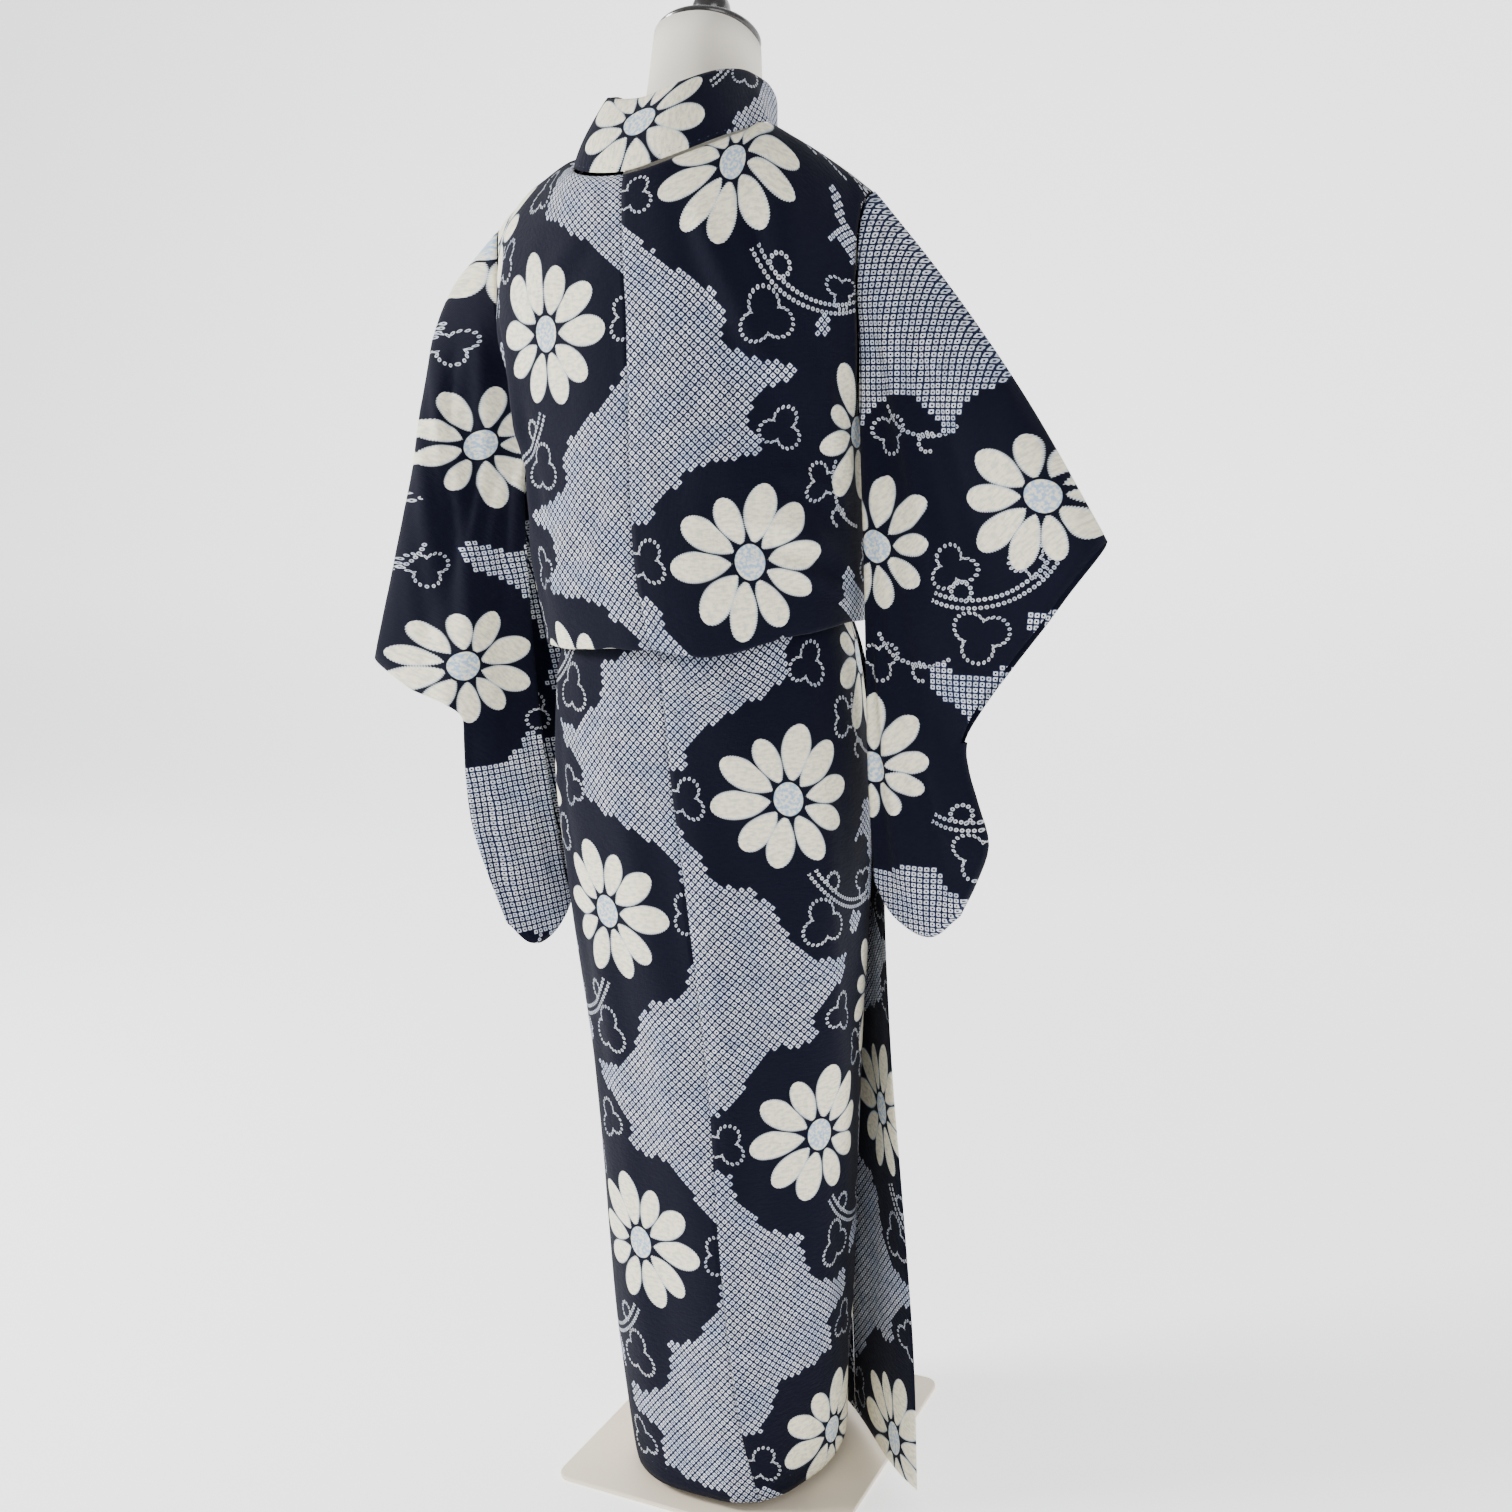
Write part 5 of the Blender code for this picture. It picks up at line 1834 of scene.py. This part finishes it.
BACK_LEFT = PanelLook(
    bolt=(0.014, 0.0975),
    seed=3,
    waves=0.0012,
    creases=(
        Crease((0.02, -0.30), (0.10, -0.39), 0.010, -0.0033, 0.006),
        Crease((0.16, -0.20), (0.12, -0.38), 0.012, 0.0039, -0.008),
        Crease((0.19, -0.12), (0.15, -0.36), 0.009, -0.0036, 0.006),
        Crease((0.03, -0.06), (0.14, -0.16), 0.012, 0.0027, 0.004),
        Crease((0.06, -0.62), (0.05, -1.20), 0.020, 0.0030, 0.010),
        Crease((0.15, -0.60), (0.12, -1.05), 0.016, -0.0030, -0.008),
    ),
    flat=(BACK_WIDTH, 1.50),
    area=0.33,
)
BACK_RIGHT = PanelLook(
    bolt=(0.0, -0.020),
    seed=5,
    waves=0.0012,
    creases=(
        Crease((0.06, -0.05), (0.17, -0.26), 0.011, 0.0045, 0.010),
        Crease((0.10, -0.07), (0.20, -0.24), 0.008, -0.0036, 0.006),
        Crease((0.07, -0.33), (0.20, -0.37), 0.007, 0.0039, -0.008),
        Crease((0.09, -0.35), (0.21, -0.40), 0.006, -0.0033, -0.006),
        Crease((0.12, -0.29), (0.22, -0.33), 0.008, 0.0033, -0.006),
        Crease((0.13, -0.37), (0.21, -0.42), 0.006, 0.0030, -0.005),
        Crease((0.04, -0.62), (0.06, -1.25), 0.022, -0.0030, -0.010),
        Crease((0.13, -0.60), (0.15, -1.15), 0.018, 0.0030, 0.010),
    ),
    flat=(BACK_WIDTH, 1.50),
    area=0.33,
)
FRONT_LEFT = PanelLook(
    bolt=(0.02, 0.05),
    seed=7,
    waves=0.0009,
    creases=(
        Crease((0.02, -0.10), (0.08, -0.34), 0.012, 0.0020, 0.008),
        Crease((0.06, -0.30), (0.17, -0.37), 0.008, -0.0016, 0.006),
        Crease((0.05, -0.62), (0.09, -1.20), 0.020, 0.0016, 0.012),
        Crease((0.16, -0.60), (0.15, -1.10), 0.016, -0.0014, -0.010),
    ),
    flat=(FRONT_WIDTH, 1.50),
    area=0.30,
)
FRONT_RIGHT = PanelLook(
    bolt=(0.05, -0.10),
    seed=9,
    waves=0.0003,
    creases=(Crease((0.04, -0.08), (0.10, -0.22), 0.010, 0.0008, 0.006),),
    flat=(FRONT_WIDTH, 1.36),
    area=0.28,
)
OKUMI_LEFT = PanelLook(
    bolt=(0.0, 0.125),
    seed=11,
    waves=0.0009,
    creases=(
        Crease((0.05, -0.30), (0.07, -0.80), 0.014, 0.0018, 0.006),
        Crease((0.10, -0.50), (0.09, -1.00), 0.012, -0.0016, -0.006),
    ),
    flat=(OKUMI_WIDTH, 1.30),
    area=0.165,
)
OKUMI_RIGHT = PanelLook(bolt=(0.20, 0.10), seed=13, waves=0.0003, creases=(), flat=(OKUMI_WIDTH, 1.12), area=0.105)
COLLAR = PanelLook(
    bolt=(0.0617, -0.0055),
    seed=15,
    waves=0.0005,
    creases=(
        Crease((0.02, -0.30), (0.06, -0.34), 0.008, -0.0012, 0.0),
        Crease((0.01, -0.52), (0.07, -0.50), 0.008, -0.0012, 0.0),
    ),
    flat=(0.085, 0.98),
    area=0.075,
)

# Places along a sleeve's cloth are turned from the upright by this much, because its arm hangs.
SLEEVE_TURN = np.radians(50)
SLEEVE_FINISH = {1: Finish.COTTON_LEFT, -1: Finish.COTTON_RIGHT}
SLEEVE_CREASES = {
    1: (
        Crease((0.02, -0.06), (0.10, -0.20), 0.012, 0.0045, 0.008),
        Crease((0.01, -0.12), (0.06, -0.30), 0.010, -0.0039, 0.006),
        Crease((0.05, -0.05), (0.16, -0.16), 0.010, -0.0033, -0.008),
        Crease((0.03, -0.35), (0.05, -0.58), 0.012, 0.0039, 0.004),
        Crease((0.08, -0.34), (0.08, -0.60), 0.010, -0.0033, -0.006),
    ),
    -1: (
        Crease((0.02, -0.05), (0.15, -0.22), 0.014, 0.0048, 0.010),
        Crease((0.02, -0.12), (0.12, -0.32), 0.012, -0.0039, 0.010),
        Crease((0.06, -0.05), (0.20, -0.18), 0.010, -0.0033, -0.008),
        Crease((0.03, -0.28), (0.07, -0.56), 0.012, 0.0039, 0.006),
        Crease((0.09, -0.32), (0.08, -0.58), 0.010, -0.0030, -0.006),
    ),
}


class Robe:
    """The shown robe."""

    def __init__(self, finishes: Finishes) -> None:
        self.cut = BodyCut()
        self.finishes = finishes
        self.cotton = finishes.get(Finish.COTTON)
        self.seamstress = Seamstress(finishes)
        self.grids: dict[str, Array] = {}

    def panel(self, name: str, grid: Array, look: PanelLook, down: int = 5, across: int = 5) -> bpy.types.Object:
        """Adds one panel as a finer, creased shell on its solid's form.

        Args:
            name: The node that it stands for.
            grid: The solid's sheet of points.
            look: The panel's finish.
            down: New rows for each old one.
            across: New columns for each old one.

        Returns:
            The panel's object.
        """
        fine = refined(grid, down, across)
        uv = cloth_uv(fine)
        normals = grid_normals(fine)
        rise = ripples(uv, look.seed, look.waves)
        for crease in look.creases:
            rise = rise + crease.rise(uv)
        rows, columns = fine.shape[:2]
        share = np.linspace(0, 1, columns)
        calm = ease(np.minimum(share, 1 - share) * columns / 3)[None, :]
        calm = calm * ease(np.minimum(np.arange(rows), rows - 1 - np.arange(rows)) / 4)[:, None]
        outwards = 1.0 if self.faces_out(fine, normals) else -1.0
        shown = fine + normals * (outwards * rise * calm)[..., None]
        self.grids[name] = shown
        place = uv + np.array(look.bolt)
        piece = cloth_shell(
            name + "_cloth",
            shown.reshape(-1, 3),
            grid_normals(shown).reshape(-1, 3),
            grid_faces(rows, columns),
            place.reshape(-1, 2),
            self.cotton,
        )
        self.finish(piece, name, look.flat, look.area)
        return piece

    @staticmethod
    def faces_out(grid: Array, normals: Array) -> bool:
        """Whether a grid's normals point away from the form.

        Args:
            grid: A grid of points.
            normals: Its normals.

        Returns:
            True if they do on the whole.
        """
        return float((grid[..., :2] * normals[..., :2]).sum()) > 0

    @staticmethod
    def finish(piece: bpy.types.Object, node: str, flat: tuple[float, float], area: float | None) -> None:
        """Attaches a cloth piece to the root body and hides the solid that it stands for.

        Args:
            piece: The piece.
            node: The node that it stands for.
            flat: The size that it was cut to; not used.
            area: Its share of that rectangle in square metres; not used.
        """
        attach(piece, "root")
        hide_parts(node)

    def sleeve(self, sign: int, name: str) -> bpy.types.Object:
        """Adds a sleeve: two layers joined on top, at the bottom and below the wrist opening.

        Args:
            sign: +1 on the wearer's left, -1 on the right.
            name: The node that it stands for.

        Returns:
            The sleeve.
        """
        down, across = 4, 4
        layers = {}
        for side in (1, -1):
            fine = refined(self.cut.sleeve_layer(sign, side), down, across)
            uv = cloth_uv(fine)
            normals = grid_normals(fine)
            outwards = side * np.sign(normals[..., 1].mean())
            rise = ripples(uv, 20 + sign + 2 * side, 0.0012)
            for crease in SLEEVE_CREASES[sign]:
                rise = rise + crease.rise(uv) * (1.0 if side > 0 else 0.8)
            rows, columns = fine.shape[:2]
            calm = ease(np.minimum(np.arange(columns), columns - 1 - np.arange(columns)) / 5)[None, :]
            calm = calm * ease(np.minimum(np.arange(rows), rows - 1 - np.arange(rows)) / 5)[:, None]
            layers[side] = fine + normals * (outwards * rise * calm)[..., None]
        behind, before = layers[1], layers[-1]
        rows, columns = behind.shape[:2]
        middle = (behind[-1] + before[-1]) / 2
        along = tangents(middle)
        below = middle + FOLD_OUT * sign * np.column_stack([along[:, 2], np.zeros(columns), -along[:, 0]])
        loops = np.concatenate([behind[::-1], before[1:], below[None]])
        faces = grid_faces(len(loops), columns, closed=True)
        points = list(loops.reshape(-1, 3))
        first = SLEEVE_DOWN.index(WRIST_OPEN) * down
        last = rows - 1
        wrist = columns - 1
        middles = {}
        for row in range(first, last):
            middles[row] = len(points)
            points.append((behind[row, -1] + before[row, -1]) / 2 + np.array((sign * FOLD_OUT, 0, 0)))
        middles[last] = (len(loops) - 1) * columns + wrist
        for row in range(first, last):
            upper = (last - row) * columns + wrist
            faces.append((upper - columns, upper, middles[row], middles[row + 1]))
            upper = (last + row) * columns + wrist
            faces.append((upper, upper + columns, middles[row + 1], middles[row]))
        points = np.array(points)
        self.grids[name] = behind
        top = TIP[sign]
        side_way = unit((points[:, :2] - top[:2]).mean(axis=0)[None])[0]
        flat_x = (points[:, :2] - top[:2]) @ side_way
        flat_z = points[:, 2] - top[2]
        cos, sin = np.cos(SLEEVE_TURN), np.sin(SLEEVE_TURN)
        place = np.column_stack([flat_x * sin + flat_z * cos, flat_z * sin - flat_x * cos])
        cotton = self.finishes.get(SLEEVE_FINISH[sign])
        piece = cloth_shell(name + "_cloth", points, face_normals(points, faces), faces, place, cotton)
        self.finish(piece, name, (0.30, 1.06), 0.19)
        return piece

    def build(self) -> None:
        """Adds every cloth piece and its sewing."""
        self.panel("back_left", self.cut.backs[1], BACK_LEFT)
        self.panel("back_right", self.cut.backs[-1], BACK_RIGHT)
        self.panel("front_left", self.cut.fronts[1][0], FRONT_LEFT)
        self.panel("front_right", self.cut.fronts[-1][0], FRONT_RIGHT)
        self.panel("okumi_left", self.cut.fronts[1][1], OKUMI_LEFT)
        self.panel("okumi_right", self.cut.fronts[-1][1], OKUMI_RIGHT)
        self.panel("collar", self.cut.collar_sheet(), COLLAR, 4, 6)
        self.sleeve(1, "sleeve_left")
        self.sleeve(-1, "sleeve_right")
        self.sew()

    def sew(self) -> None:
        """Adds the hems' and the collar's stitches."""
        hems = []
        for name in ("back_left", "back_right", "front_left", "okumi_left"):
            grid = self.grids[name]
            normals = grid_normals(grid)
            outwards = 1.0 if self.faces_out(grid, normals) else -1.0
            row = -4
            hems.append(grid[row] + normals[row] * outwards * (SHOWN_CLOTH / 2))
        self.seamstress.sew("hem_stitches", hems, 0.018, 0.0016, 0.00022)
        collar = self.grids["collar"]
        normals = grid_normals(collar)
        outwards = 1.0 if self.faces_out(collar, normals) else -1.0
        line = collar[:, 1] + normals[:, 1] * outwards * (SHOWN_CLOTH / 2)
        self.seamstress.sew("collar_stitches", [line], 0.009, 0.0018, 0.0002)


def ring_faces(rings: int, sides: int) -> Faces:
    """Faces of stacked rings of points, closed by a flat face at each end.

    Args:
        rings: How many rings.
        sides: How many points each.

    Returns:
        Corner numbers of each face.
    """
    faces = []
    for ring in range(rings - 1):
        for side in range(sides):
            a = ring * sides + side
            b = ring * sides + (side + 1) % sides
            faces.append((a, b, b + sides, a + sides))
    faces.append(tuple(range(sides))[::-1])
    faces.append(tuple((rings - 1) * sides + side for side in range(sides)))
    return faces


class Form:
    """The shown dress form on its stand."""

    def __init__(self, finishes: Finishes) -> None:
        self.finishes = finishes

    def add(self, node: str, points: Array, faces: Faces, finish: Finish, slot: str) -> None:
        """Adds a piece that stands for a node.

        Args:
            node: The node.
            points: Its points.
            faces: Corner numbers of each face.
            finish: Which finish.
            slot: The material slot's name; not used.
        """
        piece = mesh_object(node + "_shown", points, faces, self.finishes.get(finish))
        for polygon in piece.data.polygons:
            if len(polygon.vertices) > 4:
                polygon.use_smooth = False
        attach(piece, "root")
        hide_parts(node)

    @staticmethod
    def lathe(profile: Sequence[tuple[float, float]]) -> tuple[Array, Faces]:
        """A solid turned about Z from rows of radius and height.

        Args:
            profile: Rows of radius and height.

        Returns:
            Its points and faces.
        """
        turns = np.linspace(0, 2 * np.pi, FORM_SIDES, endpoint=False)
        points = [(r * np.cos(turn), r * np.sin(turn), z) for r, z in profile for turn in turns]
        return np.array(points), ring_faces(len(profile), FORM_SIDES)

    @staticmethod
    def rounded(profile: Sequence[tuple[float, float]], radius: float) -> list[tuple[float, float]]:
        """A profile with each inner corner cut to a small round.

        Args:
            profile: Rows of radius and height.
            radius: The round's size.

        Returns:
            The new profile.
        """
        row = np.array(profile, float)
        out = [tuple(row[0])]
        for before, here, after in zip(row[:-2], row[1:-1], row[2:]):
            one = unit((before - here)[None])[0] * min(radius, np.linalg.norm(before - here) / 3)
            two = unit((after - here)[None])[0] * min(radius, np.linalg.norm(after - here) / 3)
            for t in (0.0, 0.25, 0.5, 0.75, 1.0):
                out.append(tuple(here + (1 - t) ** 2 * one + t**2 * two))
        return out + [tuple(row[-1])]

    @staticmethod
    def tilted(points: Array) -> Array:
        """Points of an upright lathe, tipped forwards with the neck's top.

        Args:
            points: The points.

        Returns:
            The tipped points.
        """
        x, y, z = points.T
        cos, sin = np.cos(CAP_TILT), np.sin(CAP_TILT)
        return CAP_BASE + np.stack([x, y * cos - z * sin, y * sin + z * cos], axis=-1)

    def torso(self) -> None:
        """The padded torso and its neck."""
        turns = -np.linspace(0, 2 * np.pi, FORM_SIDES, endpoint=False)
        heights = FORM["z"]
        between = [heights[:-1] + np.diff(heights) * t for t in (0.25, 0.5, 0.75)]
        fine = np.unique(np.concatenate([heights] + between))
        points = []
        for z in fine:
            sizes = Rings.at(FORM, z)
            lean = np.tan(np.radians(smooth(FORM, "z", "lean", z)))
            points += [(x, y, z + (y - sizes[1]) * lean) for x, y in Rings.on(sizes, turns)]
        self.add("form_torso", np.array(points), ring_faces(len(fine), FORM_SIDES), Finish.JERSEY, "jersey")

    def plate(self) -> None:
        """The square plate with rounded corners."""
        half = PLATE_SIDE / 2
        bevel = 0.001
        outline = []
        for corner in range(4):
            middle = np.radians(45 + 90 * corner)
            centre = (half - PLATE_CORNER) * np.sqrt(2) * np.array((np.cos(middle), np.sin(middle)))
            for turn in np.radians(np.linspace(90 * corner, 90 * corner + 90, 13)):
                outline.append((centre, np.array((np.cos(turn), np.sin(turn)))))
        points = []
        for z, inset in ((0.0, bevel), (bevel, 0.0), (PLATE_THICK - bevel, 0.0), (PLATE_THICK, bevel)):
            points += [(*(centre + way * (PLATE_CORNER - inset)), z) for centre, way in outline]
        self.add("base_plate", np.array(points), ring_faces(4, len(outline)), Finish.ENAMEL, "enamel")

    def build(self) -> None:
        """Adds the form's five pieces."""
        self.torso()
        self.plate()
        low = PLATE_THICK + REST_GAP
        pole = (
            (FLANGE_RADIUS - 0.001, low),
            (FLANGE_RADIUS, low + 0.001),
            (FLANGE_RADIUS, low + 0.004),
            (POLE_RADIUS + 0.006, FLANGE_TOP - 0.002),
            (POLE_RADIUS, FLANGE_TOP + 0.004),
            (POLE_RADIUS, FORM_BOTTOM - REST_GAP),
        )
        self.add("pole", *self.lathe(self.rounded(pole, 0.001)), Finish.ENAMEL, "enamel")
        cap = (
            (CAP_RADIUS - 0.004, REST_GAP),
            (CAP_RADIUS - 0.001, REST_GAP + 0.002),
            (CAP_RADIUS, REST_GAP + 0.005),
            (CAP_RADIUS - 0.003, REST_GAP + 0.009),
            (CAP_RADIUS - 0.012, REST_GAP + CAP_HEIGHT),
        )
        points, faces = self.lathe(self.rounded(cap, 0.002))
        self.add("neck_cap", self.tilted(points), faces, Finish.LACQUER, "lacquer")
        low = CAP_HEIGHT + 2 * REST_GAP
        stem = KNOB_RADIUS * 0.45
        turns = np.radians(np.linspace(-62, 84, 28))
        ball = [(KNOB_RADIUS * np.cos(turn), low + KNOB_RADIUS * (1.1 + np.sin(turn))) for turn in turns]
        points, faces = self.lathe([(stem * 1.3, low), (stem, low + 0.002)] + ball)
        self.add("knob", self.tilted(points), faces, Finish.LACQUER, "lacquer")


# The camera, worked out from the plate's corners in the photo.
CAMERA_PLACE = Vector((-0.70497 + 0.0231, 1.27188, 0.957))
CAMERA_TURN = np.radians(27.4)
CAMERA_PITCH = np.radians(9.4)
CAMERA_ROLL = np.radians(-3.2)


# The studio: half the floor's width, where it ends in front, where its back starts to rise, and how it curves up.
FLOOR_HALF = 12.0
FLOOR_FRONT = 3.0
FLOOR_BACK = -2.2
CURVE_RADIUS = 0.8
WALL_TOP = 4.0
WORLD_LIGHT = 0.60
BACKDROP_GLOW = 1.10


class Studio:
    """The floor, the lights and the camera."""

    def __init__(self, finishes: Finishes) -> None:
        self.finishes = finishes

    def floor(self) -> None:
        """A pale floor that curves up far behind the object."""
        outline = [(FLOOR_FRONT, 0.0), (FLOOR_BACK, 0.0)]
        for angle in np.linspace(0.1, np.pi / 2, 9):
            outline.append((FLOOR_BACK - CURVE_RADIUS * np.sin(angle), CURVE_RADIUS * (1 - np.cos(angle))))
        outline.append((FLOOR_BACK - CURVE_RADIUS, WALL_TOP))
        points = []
        for y, z in outline:
            points += [(-FLOOR_HALF, y, z), (FLOOR_HALF, y, z)]
        faces = [(2 * i, 2 * i + 1, 2 * i + 3, 2 * i + 2) for i in range(len(points) // 2 - 1)]
        sheet = mesh_object("studio_floor", np.array(points), faces, self.finishes.get(Finish.PAPER))

    @staticmethod
    def light(name: str, place: Sequence[float], size: float, power: float) -> None:
        """A soft square lamp that faces the robe's middle.

        Args:
            name: The lamp's name.
            place: Where it is.
            size: Its width.
            power: Its power in watts.
        """
        lamp = bpy.data.lights.new(name, "AREA")
        lamp.size = size
        lamp.energy = power
        made = bpy.data.objects.new(name, lamp)
        made.location = place
        made.rotation_euler = (Vector((0.0, 0.0, 0.8)) - Vector(place)).to_track_quat("-Z", "Y").to_euler()
        bpy.context.scene.collection.objects.link(made)

    @staticmethod
    def world() -> None:
        """Even pale light from all round."""
        made = bpy.data.worlds.new("studio_world")
        made.use_nodes = True
        back = made.node_tree.nodes["Background"]
        back.inputs["Color"].default_value = (0.97, 0.98, 1.0, 1.0)
        back.inputs["Strength"].default_value = WORLD_LIGHT
        bpy.context.scene.world = made

    @staticmethod
    def camera() -> None:
        """The camera at the photo's place, with its roll."""
        forward = Vector(
            (
                np.sin(CAMERA_TURN) * np.cos(CAMERA_PITCH),
                -np.cos(CAMERA_TURN) * np.cos(CAMERA_PITCH),
                -np.sin(CAMERA_PITCH),
            )
        )
        level = forward.cross(Vector((0, 0, 1))).normalized()
        upright = level.cross(forward)
        right = level * np.cos(CAMERA_ROLL) + upright * np.sin(CAMERA_ROLL)
        up = -level * np.sin(CAMERA_ROLL) + upright * np.cos(CAMERA_ROLL)
        data = bpy.data.cameras.new("photo_camera")
        data.sensor_width = 36.0
        data.lens = 36.0
        made = bpy.data.objects.new("photo_camera", data)
        place = Matrix((right, up, -forward)).transposed().to_4x4()
        place.translation = CAMERA_PLACE
        made.matrix_world = place
        bpy.context.scene.collection.objects.link(made)
        bpy.context.scene.camera = made

    def build(self) -> None:
        """Adds the whole studio."""
        self.floor()
        self.world()
        self.light("key", (2.8, 1.3, 2.4), 0.9, 190.0)
        self.light("fill", (-2.4, 2.4, 2.0), 1.8, 45.0)
        self.camera()


def main() -> None:
    """Builds the scene."""
    logging.basicConfig(level=logging.INFO)
    finishes = Finishes()
    Studio(finishes).build()
    Robe(finishes).build()
    Form(finishes).build()


if __name__ == "__main__":
    main()
